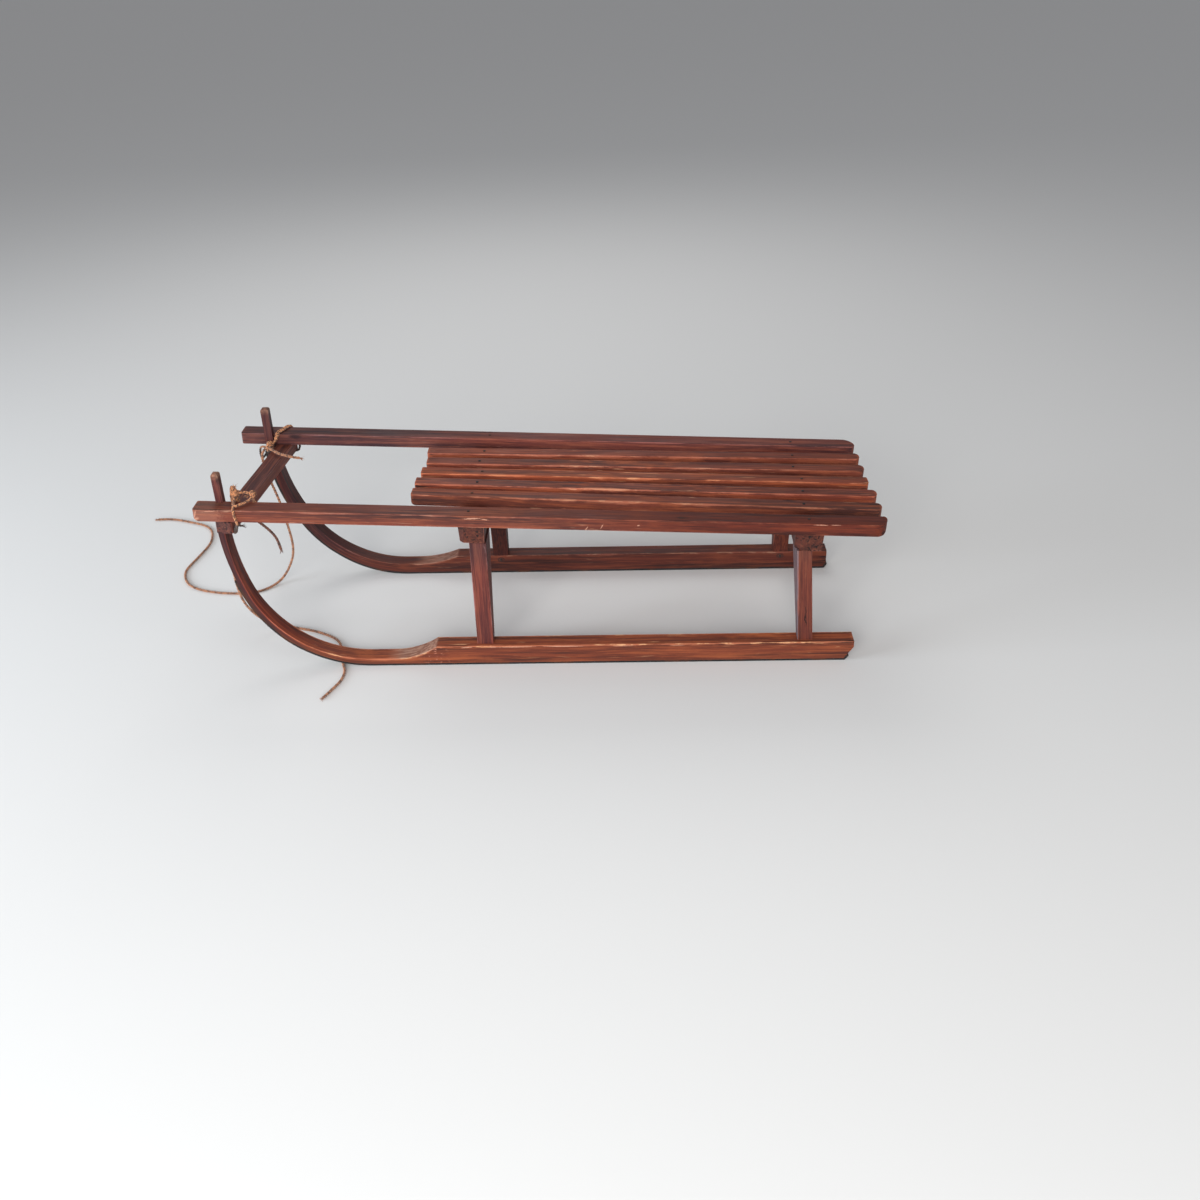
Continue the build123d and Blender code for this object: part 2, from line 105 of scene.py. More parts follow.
# Runners: straight at the rear, then a lower arc and an upper arc up to the neck
RUNNER_MIDDLE_Y = 0.14225
RUNNER_WIDTH = 0.0275
RUNNER_HEIGHT = 0.03
RUNNER_REAR = 0.469
RUNNER_LEAN = 0.013
PIN_HEIGHT = 0.0265
# How far the neck's straight part starts below the rail
NECK_DROP = 0.005
PEG_TOP = 0.318
LEAN_HEIGHTS = (0.04, 0.255)
SOLE_THICKNESS = 0.0045
SCARF = (-0.239, -0.17)
# side: sign, place of the neck's front, radius and angle of the lower arc, thickness at the start, where
# the arcs meet and at the neck
RUNNERS = {
    "left": (-1, 0.0275, 0.192, math.radians(67), (0.009, 0.0065, 0.0105)),
    "right": (1, 0.0375, 0.19, math.radians(58), (0.016, 0.0125, 0.0125)),
}

# Routes of the free cords: x, y, z of each point in metres.
FLOOR = 0.0025
CORD_ROUTES = {
    "cord_right": [
        (-0.462, 0.1104, 0.254), (-0.47, 0.1109, 0.2465), (-0.4728, 0.1115, 0.2355), (-0.4724, 0.1114, 0.225),
        (-0.4684, 0.11, 0.204), (-0.4617, 0.1085, 0.18), (-0.4556, 0.108, 0.156), (-0.4497, 0.108, 0.114),
        (-0.4457, 0.107, 0.078), (-0.4484, 0.1073, 0.0553), (-0.4561, 0.1094, 0.0361),
        (-0.4668, 0.1094, 0.0169), (-0.4793, 0.1035, 0.0036), (-0.4914, 0.0848, FLOOR),
        (-0.5074, 0.0717, FLOOR), (-0.5275, 0.0667, FLOOR), (-0.5466, 0.0662, FLOOR),
        (-0.5747, 0.0689, FLOOR), (-0.6028, 0.0765, FLOOR), (-0.6239, 0.0871, FLOOR),
        (-0.6399, 0.1012, FLOOR), (-0.653, 0.1258, FLOOR), (-0.6577, 0.147, FLOOR), (-0.656, 0.1651, FLOOR),
        (-0.649, 0.2012, FLOOR), (-0.6427, 0.2424, FLOOR), (-0.6463, 0.2735, FLOOR), (-0.6563, 0.3016, FLOOR),
        (-0.6711, 0.3184, FLOOR), (-0.6871, 0.327, FLOOR), (-0.7087, 0.336, FLOOR), (-0.7313, 0.3448, FLOOR),
        (-0.7544, 0.3498, FLOOR), (-0.7734, 0.3478, FLOOR),
    ],
    "cord_left": [
        (-0.4705, -0.1118, 0.243), (-0.4787, -0.1117, 0.23), (-0.477, -0.11, 0.2), (-0.4766, -0.108, 0.167),
        (-0.4777, -0.104, 0.134), (-0.479, -0.097, 0.108), (-0.4803, -0.087, 0.086),
        (-0.4797, -0.0735, 0.0617), (-0.4727, -0.0566, 0.0329), (-0.453, -0.0469, 0.0094),
        (-0.4251, -0.0432, FLOOR), (-0.3922, -0.0527, FLOOR), (-0.3706, -0.0624, FLOOR),
        (-0.3501, -0.0747, FLOOR), (-0.3364, -0.0889, FLOOR), (-0.3287, -0.1079, FLOOR),
        (-0.3252, -0.131, FLOOR), (-0.3187, -0.1511, FLOOR), (-0.3112, -0.1722, FLOOR),
        (-0.3117, -0.1955, FLOOR), (-0.3197, -0.2164, FLOOR), (-0.331, -0.2417, FLOOR),
    ],
    "tail_left": [
        (-0.445, -0.1152, 0.257), (-0.435, -0.114, 0.2535), (-0.428, -0.113, 0.246),
        (-0.423, -0.1125, 0.2335), (-0.413, -0.11, 0.222), (-0.404, -0.109, 0.21), (-0.3985, -0.1085, 0.197),
        (-0.397, -0.108, 0.182),
    ],
    "tail_right": [
        (-0.4575, 0.1115, 0.2558), (-0.4547, 0.1, 0.257), (-0.4477, 0.0914, 0.2573),
        (-0.4387, 0.0815, 0.2575), (-0.4307, 0.0752, 0.2572), (-0.4214, 0.07, 0.2568),
        (-0.4127, 0.067, 0.256), (-0.4048, 0.0661, 0.2545), (-0.398, 0.0672, 0.253),
    ],
}

# Lashings: lines of cord as place, y and height above the deck's top, in metres
LASHINGS = {
    "lashing_left": {
        "turn": [
            (0.0535, -0.116, 0.003), (0.0545, -0.1235, 0.0028), (0.057, -0.138, 0.0027),
            (0.0598, -0.1524, 0.0029), (0.0604, -0.1559, -0.0006), (0.0615, -0.1561, -0.01),
            (0.0635, -0.1561, -0.0175), (0.0632, -0.1546, -0.0225), (0.06, -0.15, -0.033),
            (0.0575, -0.147, -0.0388), (0.054, -0.1455, -0.0402), (0.0505, -0.13, -0.0402),
            (0.045, -0.1145, -0.0402), (0.0346, -0.112, -0.0402), (0.0309, -0.112, -0.0368),
            (0.0309, -0.112, -0.027), (0.0315, -0.112, -0.0185), (0.038, -0.113, -0.0145),
            (0.047, -0.115, -0.0125),
        ],
        "second_turn": [
            (0.0555, -0.148, -0.0385), (0.0572, -0.1495, -0.033), (0.0598, -0.151, -0.0275),
            (0.063, -0.1515, -0.0245), (0.0655, -0.151, -0.0245), (0.0672, -0.1495, -0.0262),
        ],
        "bow": [
            (0.0535, -0.117, 0.004), (0.0545, -0.13, 0.0038), (0.0572, -0.143, 0.0036),
            (0.061, -0.1465, 0.0036), (0.0675, -0.1395, 0.0038), (0.0755, -0.131, 0.0045),
            (0.0795, -0.122, 0.0055), (0.0795, -0.1135, 0.0065), (0.075, -0.11, 0.0078),
            (0.066, -0.11, 0.0085), (0.056, -0.1125, 0.0085),
        ],
        "second_bow": [
            (0.053, -0.1135, 0.0105), (0.0575, -0.1115, 0.0115), (0.063, -0.111, 0.0085),
            (0.0685, -0.1125, 0.0105), (0.0735, -0.114, 0.0095), (0.0775, -0.1155, 0.0068),
            (0.08, -0.118, 0.0045), (0.0818, -0.1215, 0.0032),
        ],
        "bundle": [
            (0.0497, -0.1165, -0.0165), (0.0487, -0.1194, -0.009), (0.0492, -0.1196, 0.009),
            (0.0497, -0.118, 0.0185), (0.0505, -0.1142, 0.0212), (0.051, -0.1114, 0.012),
            (0.0509, -0.1112, -0.006), (0.0513, -0.113, -0.0145), (0.0518, -0.1178, -0.0155),
            (0.0522, -0.1198, -0.007), (0.0523, -0.1198, 0.011), (0.0525, -0.1175, 0.0195),
            (0.0532, -0.1135, 0.0198), (0.0535, -0.1114, 0.011), (0.054, -0.1114, -0.007),
            (0.0545, -0.114, -0.0152), (0.0552, -0.118, -0.0145), (0.0557, -0.1196, -0.004),
            (0.0555, -0.1194, 0.008), (0.0552, -0.1172, 0.015), (0.0552, -0.1138, 0.015),
            (0.0555, -0.1118, 0.009), (0.0567, -0.112, -0.004),
        ],
        "collar": [
            (0.0535, -0.1145, -0.004), (0.0572, -0.1195, -0.003), (0.0572, -0.109, -0.0022),
            (0.0484, -0.1085, -0.001), (0.0473, -0.1202, 0.0002), (0.0567, -0.1208, 0.0018),
            (0.0578, -0.1092, 0.0032), (0.0481, -0.1082, 0.0042), (0.0469, -0.1185, 0.0055),
            (0.0535, -0.1218, 0.007), (0.0583, -0.1145, 0.0085), (0.0539, -0.1075, 0.0105),
            (0.0489, -0.1105, 0.0125), (0.0486, -0.1175, 0.0145), (0.0528, -0.1195, 0.0158),
            (0.0545, -0.1145, 0.0175), (0.0528, -0.1135, 0.0165),
        ],
        "bow_knot": [
            (0.0764, -0.1215, 0.0045), (0.082, -0.1205, 0.0055), (0.0825, -0.1175, 0.0105),
            (0.0772, -0.1155, 0.0112), (0.076, -0.1165, 0.005), (0.0812, -0.1145, 0.0042),
            (0.083, -0.1115, 0.0085), (0.0785, -0.1105, 0.0118), (0.0745, -0.1115, 0.0098),
            (0.0728, -0.1165, 0.0075),
        ],
    },
    "lashing_right": {
        "turn": [
            (0.046, 0.109, -0.017), (0.0515, 0.112, -0.014), (0.0536, 0.1175, -0.0085),
            (0.0542, 0.1196, -0.004), (0.0555, 0.1196, -0.0006), (0.057, 0.1231, 0.0029),
            (0.0625, 0.138, 0.0026), (0.068, 0.1524, 0.0029), (0.0695, 0.1559, -0.0006),
            (0.076, 0.1559, -0.01), (0.082, 0.156, -0.018), (0.084, 0.1545, -0.023), (0.084, 0.15, -0.032),
            (0.083, 0.1474, -0.0375), (0.0795, 0.1466, -0.0402), (0.06, 0.147, -0.0403),
            (0.038, 0.147, -0.0404), (0.0315, 0.146, -0.0415), (0.029, 0.14, -0.0435),
            (0.0282, 0.128, -0.0445), (0.027, 0.1195, -0.042), (0.0266, 0.117, -0.036),
            (0.0268, 0.1166, -0.026), (0.0295, 0.1145, -0.0195), (0.036, 0.111, -0.0175),
            (0.0455, 0.1087, -0.019),
        ],
        "second_turn": [
            (0.0485, 0.1105, -0.0125), (0.0535, 0.1145, -0.0105), (0.0568, 0.119, -0.0055),
            (0.0586, 0.1196, -0.0006), (0.06, 0.1231, 0.0029), (0.066, 0.138, 0.0028),
            (0.0712, 0.1524, 0.0029), (0.0725, 0.1559, -0.0006), (0.0765, 0.156, -0.008),
        ],
        "collar": [
            (0.0465, 0.1125, -0.0235), (0.0412, 0.1115, -0.0232), (0.0402, 0.1062, -0.0222),
            (0.0455, 0.1035, -0.0208), (0.0505, 0.1062, -0.0195), (0.0502, 0.1118, -0.0185),
            (0.045, 0.1132, -0.018), (0.0403, 0.1095, -0.0168), (0.0418, 0.1042, -0.0155),
            (0.0475, 0.104, -0.0142), (0.0508, 0.1088, -0.0132), (0.0478, 0.1128, -0.0122),
            (0.0425, 0.1115, -0.0108), (0.0422, 0.1065, -0.0095), (0.0468, 0.1045, -0.0092),
        ],
        "bundle": [
            (0.043, 0.108, -0.0262), (0.0425, 0.1042, -0.0205), (0.0435, 0.1034, -0.0125),
            (0.0462, 0.1062, -0.0072), (0.0492, 0.1105, -0.0085), (0.0498, 0.1128, -0.0155),
            (0.0475, 0.1118, -0.0235), (0.0445, 0.1085, -0.0258),
        ],
    },
}

# A run is two values of a noise or a distance: what it steers is absent at the first and full at the second.
# A noise is its scale, or the scales along its axes, its detail and its roughness.

# Grain noises: scale along the grain, scale across it, detail, roughness, distortion
GRAIN_NOISES = {
    "broad": (2.6, 70.0, 4.0, 0.55, 0.25),
    "streaks": (6.0, 210.0, 4.0, 0.6, 0.0),
    "fine": (18.0, 560.0, 4.0, 0.6, 0.0),
    "pores": (70.0, 1500.0, 2.0, 0.5, 0.0),
    "patches": (9.0, 26.0, 5.0, 0.65, 0.0),
    "rub": (16.0, 70.0, 5.0, 0.65, 0.0),
    "chips": (34.0, 120.0, 4.0, 0.7, 0.0),
    "scratches": (20.0, 330.0, 2.0, 0.4, 0.8),
    "cracks": (7.0, 300.0, 1.0, 0.4, 0.0),
}
WAVE_NOISE = (6.0, 25.0, 2.0, 0.5, 0.0)
WAVE_DEPTH = 0.008
# How far one step of the seed moves the grain
SEED_STEP = Vector((1.37, 0.71, 2.13))
STAIN_RUN = (0.32, 0.6)
# Layers over the broad grain: noise, its run, share, colour
STAIN_LAYERS = [
    ("streaks", (0.5, 0.64), 0.55, "worn_wood"),
    ("streaks", (0.44, 0.3), 0.5, "dark_stain"),
    ("fine", (0.5, 0.66), 0.5, "worn_wood"),
    ("fine", (0.46, 0.34), 0.55, "dark_stain"),
    ("pores", (0.6, 0.75), 0.6, "dark_stain"),
]
# Knots of the wood: cells along and across the grain, share of cells without one, radii in cells
KNOT_CELLS = (12.0, 30.0, 30.0)
CELLS_WITHOUT_KNOT = 0.86
KNOT_RADII = (0.17, 0.07)
KNOT_SHARE = 0.8
KNOT_COLOUR = (0.022, 0.009, 0.008)
# Thin stain and scratches: runs of their noises, and shares where the wear is 1
THIN_RUN = (0.53, 0.72)
THIN_SHARE = 0.6
SCRATCH_RUN = (0.69, 0.76)
SCRATCH_SHARE = 0.5
# Worn edges: least reach in metres, how much more where the wear is 1, and the wear's gain and full share
EDGE_REACH = 0.0005
EDGE_WEAR_REACH = 0.0045
RUB_RUN = (0.38, 0.72)
EDGE_GAIN = 2.2
EDGE_SHARE = 0.85
# Bare wood on the worn edges: runs of the edge's own wear and of the chips
BARE_RUN = (0.35, 0.85)
BARE_CHIP_RUN = (0.5, 0.6)
# Worn ends: run of the distance to the end, in metres, and of the chips
END_RUN = (0.006, 0.0)
END_CHIP_RUN = (0.35, 0.6)
# Cracks at the ends: runs of the noise and of the distance to the end, for long cracks and for fine ones
CRACK_RUN = (0.665, 0.7)
CRACK_REACH = (0.075, 0.0)
FINE_CRACK_RUN = (0.59, 0.63)
FINE_CRACK_REACH = (0.02, 0.004)
FINE_CRACK_CHIP_RUN = (0.4, 0.55)
CRACK_SHARE = 0.9
CRACK_COLOUR = (0.008, 0.005, 0.005)
# Roughness of the stain from its patches, and how much a worn edge adds
PATCH_RUN = (0.3, 0.7)
STAIN_ROUGHNESS = (0.5, 0.68)
EDGE_ROUGHNESS = 0.15
STAIN_SHINE = 0.22
# Relief of the wood: parts of the fine grain, the pores and the cracks, then strength and depth in all
GRAIN_RELIEF = 0.6
PORE_RELIEF = 0.4
CRACK_RELIEF = 2.0
WOOD_BUMP = (0.4, 0.0006)
# Scratches placed one by one: noise of their ragged outline, how far it moves it, run in half sizes
MARK_NOISE = ((500.0, 500.0, 900.0), 3.0, 0.7)
MARK_RAGGEDNESS = 2.2
MARK_RUN = (1.1, 0.6)

# Looks of the rails: wear, tint in front, tint behind, values of x between which it changes, scratches. The
# tint behind is painted shade on the left rail, darker towards its rear, and painted light on the right rail,
# where the slats shade its inner side.
RAIL_LOOKS = {
    "left": (0.8, (0.86, 0.85, 0.95), (0.55, 0.37, 0.34), (-0.1, 0.28), RAIL_MARKS),
    "right": (0.5, (0.56, 0.68, 1.12), (0.88, 0.86, 1.15), (-0.3, -0.1), []),
}
RAIL_BARE_SHARE = 0.45
SLAT_TINTS = [(1.05, 0.95, 0.9), (1.3, 1.1, 1.05), (1.5, 1.3, 1.05), (1.15, 1.05, 1.05), (1.12, 1.0, 1.0)]
SLAT_REAR_SHARE = 0.82
SLAT_TINT_RUN = (-0.05, 0.4)
SLAT_WEAR = 0.85
# The seat: the x of its middle, and how far from there its wear ends and is full
SEAT_MIDDLE = 0.13
SEAT_REACH = (0.22, 0.02)
BOLSTER_WEAR = 0.55
BOLSTER_TINT = (0.43, 0.43, 0.52)
CROSSBAR_WEAR = 0.2
CROSSBAR_TINT = (0.78, 0.84, 1.15)
CROSSBAR_END_TINT = (0.52, 0.68, 1.04)
END_FACE_RUN = (0.0015, 0.0003)
# Looks of the posts: tint of the foot, tint of the head, painted sheen on the front face, darkness of its
# crack
POST_LOOKS = {
    "post_front_left": ((0.72, 0.66, 0.96), (0.45, 0.52, 0.88), 0.25, 0.0),
    "post_front_right": ((0.24, 0.18, 0.24), (0.18, 0.14, 0.2), 0.0, 0.0),
    "post_rear_left": ((0.68, 0.66, 0.8), (0.5, 0.58, 0.82), 0.85, 0.85),
    "post_rear_right": ((0.5, 0.42, 0.46), (0.45, 0.38, 0.42), 0.0, 0.0),
}
POST_TINT_RUN = (0.15, 0.2)
POST_WEAR = 0.75
# The ends of a post are hidden in mortises, so all of it counts as this far from an end
POST_END_DISTANCE = 0.1
POST_BARE_SHARE = 0.5
# Painted sheen on the front face, a painted reflection of pale bluish light: run of the distance behind the
# face, noise and its run, least share, colour
FRONT_FACE_RUN = (0.0012, 0.0003)
FRONT_SHEEN_NOISE = ((60.0, 300.0, 60.0), 4.0, 0.6)
FRONT_SHEEN_RUN = (0.3, 0.7)
FRONT_SHEEN_LEAST = 0.3
FRONT_SHEEN_COLOUR = (0.155, 0.13, 0.15)
# The crack of a post: height of its middle, runs of the distances up and aside from it, how far it wanders
POST_CRACK_HEIGHT = 0.078
POST_CRACK_REACH = (0.022, 0.012)
POST_CRACK_WIDTH = (0.0011, 0.0004)
POST_CRACK_NOISE = ((150.0, 150.0, 60.0), 3.0, 0.6)
POST_CRACK_MIDDLE = 0.55
POST_CRACK_WANDER = 0.012
POST_CRACK_COLOUR = (0.006, 0.004, 0.004)

# Looks of the runners. The tints are those of the straight part, the bend and the neck; the top tints are
# painted light, lighter than the sides on the upper faces. The shares are those of the pale scarf, the rubbed
# flecks at its rear end and the tan crown of the peg.
RUNNER_LOOKS = {
    "left": {
        "side_tints": ((0.94, 0.87, 0.76), (0.34, 0.36, 0.62), (0.24, 0.26, 0.56)),
        "lit_top_tints": ((1.3, 1.22, 1.05), (1.0, 0.72, 0.72), (0.42, 0.26, 0.32)),
        "peg_tint": (0.55, 0.56, 0.92),
        "shares": (0.9, 0.75, 0.6),
        "marks": RUNNER_MARKS,
    },
    "right": {
        "side_tints": ((0.47, 0.39, 0.42), (0.34, 0.36, 0.62), (0.42, 0.32, 0.46)),
        "lit_top_tints": ((0.47, 0.39, 0.42), (0.34, 0.36, 0.62), (0.42, 0.32, 0.46)),
        "peg_tint": (0.36, 0.4, 0.74),
        "shares": (0.5, 0.0, 0.4),
        "marks": [],
    },
}
# Where the tints change: start of the bend, share of the lower arc where the neck's begins, depth under the
# top where the painted light of the top begins, height on the peg
BEND_START = 0.02
NECK_START = 0.9
LIT_TOP_TINT_RUN = (0.0022, 0.0006)
PEG_TINT_RUN = (0.25, 0.275)
# Wear: on the straight part, how much more on the scarf and the upper edges, how much of it the bend loses,
# and what is left of it at the sole
RUNNER_WEAR = 0.7
SCARF_WEAR = 0.9
UPPER_EDGE_WEAR = 0.8
BEND_WEAR_LOSS = 0.9
SOLE_WEAR = 0.25
RUNNER_END_WEAR = 0.3
RUNNER_BARE_SHARE = 0.7
# Where the wear lies: distances from the scarf's middle and from its face, under the top, above the sole
SCARF_WEAR_RUN = (0.05, 0.02)
SCARF_FACE_RUN = (0.006, 0.001)
UPPER_EDGE_RUN = (0.008, 0.002)
SOLE_WEAR_RUN = (0.001, 0.006)
# The pale cut: depth under the top, x from the scarf's front end, x from its rear end, streaks
CUT_FACE_RUN = (0.0018, 0.0005)
CUT_FRONT_RUN = (-0.012, 0.02)
CUT_REAR_RUN = (0.003, -0.002)
CUT_NOISE = ((30.0, 300.0, 300.0), 4.0)
CUT_STREAK_RUN = (0.35, 0.65)
SCARF_COLOURS = ((0.2, 0.085, 0.055), (0.42, 0.24, 0.17))
# Rubbed flecks: how far their middle lies before the scarf's rear end, run of the distance from there
FLECK_STEP = 0.004
FLECK_REACH = (0.03, 0.004)
FLECK_NOISE = ((160.0, 0.0, 260.0), 4.0, 0.7)
FLECK_RUN = (0.56, 0.66)
RUBBED_COLOUR = (0.5, 0.2, 0.13)
# The tan crown of the peg: run of the depth under its top, spots
CROWN_REACH = (0.012, 0.003)
CROWN_NOISE = (200.0, 4.0, 0.7)
CROWN_SPOT_RUN = (0.35, 0.62)
CROWN_COLOURS = ((0.15, 0.07, 0.045), (0.4, 0.2, 0.12))
# The ring around a tenon's pin: radii where it begins, is full, thins and ends, and its flattening
RING_RADII = (0.003, 0.0042, 0.0055, 0.0072)
RING_FLATTENING = 1.4
RING_SHARE = 0.75
RING_COLOUR = (0.03, 0.014, 0.012)
# Run of the place across the runner, so that only its inner face has the rings
INNER_FACE_RUN = (-0.0125, -0.0135)

# Iron: noises of the scale and the rust and their runs, share of rubbed iron, roughness, relief
SCALE_NOISE = (180.0, 5.0, 0.65)
RUST_NOISE = (28.0, 4.0, 0.6)
RUST_RUN = (0.46, 0.66)
RUBBED_IRON_RUN = (0.55, 0.75)
RUBBED_IRON_SHARE = 0.6
RUBBED_IRON_COLOUR = (0.09, 0.055, 0.04)
IRON_ROUGHNESS_RUN = (0.3, 0.7)
IRON_ROUGHNESS = (0.42, 0.75)
IRON_METAL = 0.55
IRON_BUMP = (0.5, 0.0005)

# Looks of the cord: shares of its colour in light fibres, run of those, scale of the dirt, run of the dirt,
# share of the dirt, tint. The shaded cord's tint is painted shade, darker for the loose end in the sled's
# shade.
CORD_LOOKS = {
    "twisted_cord": ((1.7, 1.95, 1.8), (0.35, 0.7), 190.0, (0.46, 0.62), 0.85, (1.0, 1.0, 1.0)),
    "shaded_cord": ((1.7, 1.95, 1.8), (0.35, 0.7), 190.0, (0.46, 0.62), 0.85, (0.42, 0.36, 0.42)),
    "lashing_cord": ((2.5, 2.7, 2.1), (0.36, 0.6), 320.0, (0.46, 0.55), 0.9, (1.0, 1.0, 1.0)),
}
FIBRE_NOISE = (900.0, 3.0, 0.6)
DIRT_DETAIL = (3.0, 0.65)
DIRT_SHARES = (0.2, 0.2, 0.24)
# The lashings are painted dark under the rails, as painted shade: run of the height, share, colour
UNDER_RAIL_SHADE_RUN = (0.2535, 0.2465)
UNDER_RAIL_SHADE_SHARE = 0.92
UNDER_RAIL_SHADE_COLOUR = (0.02, 0.011, 0.01)
CORD_ROUGHNESS = 0.85
CORD_SHEEN = 0.25
CORD_BUMP = (0.5, 0.0003)

# Twisted cord: step along it, number of strands, its radius in radii of a strand, swelling of the strands,
# turn of the swelling from point to point and of the twist from cord to cord
CORD_STEP = 0.0011
STRANDS = 3
STRANDS_ACROSS = 2.35
SWELLING = 0.08
SWELLING_TURN = 0.9
SEED_TURN = 0.7
# Thickness of the lashings' cord as a share of the free cords'
LASHING_SHARE = 0.86
# Loose fibres: step between them, place of the root in cord diameters, least and most lean, shortest and
# longest, radii from root to tip, least height
FIBRE_STEP = 0.0033
FIBRE_ROOT = 0.36
FIBRE_LEANS = (0.6, 1.4)
FIBRE_LENGTHS = (0.0015, 0.004)
FIBRE_RADII = (0.00012, 0.0001, 0.00004)
FIBRE_FLOOR = 0.0002
# The same for the frayed ends, with the least heights of middle and tip for ends that lie on the floor
FRAY_COUNT = 18
FRAY_ROOT = 0.3
FRAY_SPREADS = (0.1, 0.75)
FRAY_LENGTHS = (0.004, 0.009)
FRAY_RADII = (0.0003, 0.00025, 0.0001)
FRAY_FLOOR = (0.0006, 0.0005)
# A length that counts as none
TINY = 1e-9

# Lamps: place, size, share of the lamp power, colour
LAMPS = {
    "key": ((-0.5, -2.9, 1.15), 1.6, 5.8, (1.0, 1.0, 1.0)),
    "fill": ((2.0, -2.0, 1.1), 1.8, 1.2, (1.0, 1.0, 1.0)),
    "ahead": ((-2.8, -0.9, 0.8), 1.4, 4.4, (0.82, 0.91, 1.0)),
    "back": ((-0.2, 1.9, 2.0), 1.6, 1.0, (1.0, 1.0, 1.0)),
}
LAMP_TARGET = Vector((0.0, 0.0, 0.12))
SKY_COLOUR = (0.93, 0.95, 1.0, 1.0)
SKY_STRENGTH = 0.34
FLOOR_SIZE = 30.0
# The camera: its place, its turn around the Z axis, its tilt down and its roll, fitted to the photograph
CAMERA_PLACE = (0.12621, -1.68846, 1.04608)
CAMERA_YAW = -0.0277747
CAMERA_PITCH = 0.546002
CAMERA_ROLL = -0.0280793
CAMERA_LENS = 36.0

# Nails and pins: height of the head, steps of its dome as shares of the radius inwards and of the height
# upwards, how far its foot is sunk into the wood, steps of the nails out of line
NAIL_HEIGHT = 0.0009
NAIL_DOME = ((0.3, 0.3), (0.35, 0.2))
NAIL_SINK = 0.0002
RAIL_NAIL_STEP = 0.003
SLAT_NAIL_STEP = 0.004
# How far the slats lie under the rails' tops
SLAT_DROP = 0.001


def colour_setting(name, description, default):
    return FloatVectorProperty(name=name, description=description, subtype="COLOR", default=default)


class SledSettings(bpy.types.PropertyGroup):
    """Sizes and colours of the sled's dressing."""
    cord_diameter: FloatProperty(
        name="Cord diameter", description="Thickness of the twisted cord", default=0.0045, unit="LENGTH")
    cord_lay: FloatProperty(
        name="Cord lay", description="Length of one full twist of the cord", default=0.013, unit="LENGTH")
    nail_diameter: FloatProperty(
        name="Nail diameter", description="Width of the nail and pin heads", default=0.0042, unit="LENGTH")
    lamp_power: FloatProperty(
        name="Lamp power", description="Power of a studio lamp with a share of 1", default=14.0, unit="POWER")
    stain: colour_setting("Stain", "Colour of the stained wood", (0.17, 0.039, 0.021))
    dark_stain: colour_setting("Dark stain", "Darkest colour of the grain", (0.055, 0.018, 0.014))
    worn_wood: colour_setting("Worn wood", "Wood where the stain is rubbed thin", (0.33, 0.092, 0.037))
    worn_edge: colour_setting("Worn edge", "Edge where the stain is rubbed thin", (0.42, 0.145, 0.085))
    scratched_wood: colour_setting("Scratched wood", "Wood in the bottom of a scratch", (0.58, 0.3, 0.2))
    bare_wood: colour_setting("Bare wood", "Wood where the stain is gone", (0.56, 0.31, 0.18))
    iron: colour_setting("Iron", "Colour of the blackened iron", (0.02, 0.018, 0.018))
    rust: colour_setting("Rust", "Colour of the rust on the iron", (0.075, 0.028, 0.014))
    cord_colour: colour_setting("Cord colour", "Colour of the cord", (0.32, 0.13, 0.068))
    floor_colour: colour_setting("Floor colour", "Colour of the studio floor", (0.75, 0.74, 0.72))


def settings():
    return bpy.context.scene.sled_dressing


class Value:
    """A number that a material's nodes work out. It takes the usual signs of arithmetic."""

    def __init__(self, nodes, socket):
        self.nodes = nodes
        self.socket = socket

    def __add__(self, other):
        return self.nodes.math("ADD", self, other)

    def __sub__(self, other):
        return self.nodes.math("SUBTRACT", self, other)

    def __rsub__(self, other):
        return self.nodes.math("SUBTRACT", other, self)

    def __mul__(self, other):
        return self.nodes.math("MULTIPLY", self, other)

    def __truediv__(self, other):
        return self.nodes.math("DIVIDE", self, other)

    def __abs__(self):
        return self.nodes.math("ABSOLUTE", self)

    __radd__ = __add__
    __rmul__ = __mul__

    def ramp(self, start, end, at_start=0.0, at_end=1.0, shape="SMOOTHSTEP"):
        """A soft change from one value to another while this number goes from the start to the end."""
        limits = (start, end, at_start, at_end)
        node = self.nodes.add("ShaderNodeMapRange", self, *limits, interpolation_type=shape)
        return Value(self.nodes, node.outputs[0])

    def line(self, start, end, at_start, at_end):
        """An even change from one value to another while this number goes from the start to the end."""
        return self.ramp(start, end, at_start, at_end, "LINEAR")


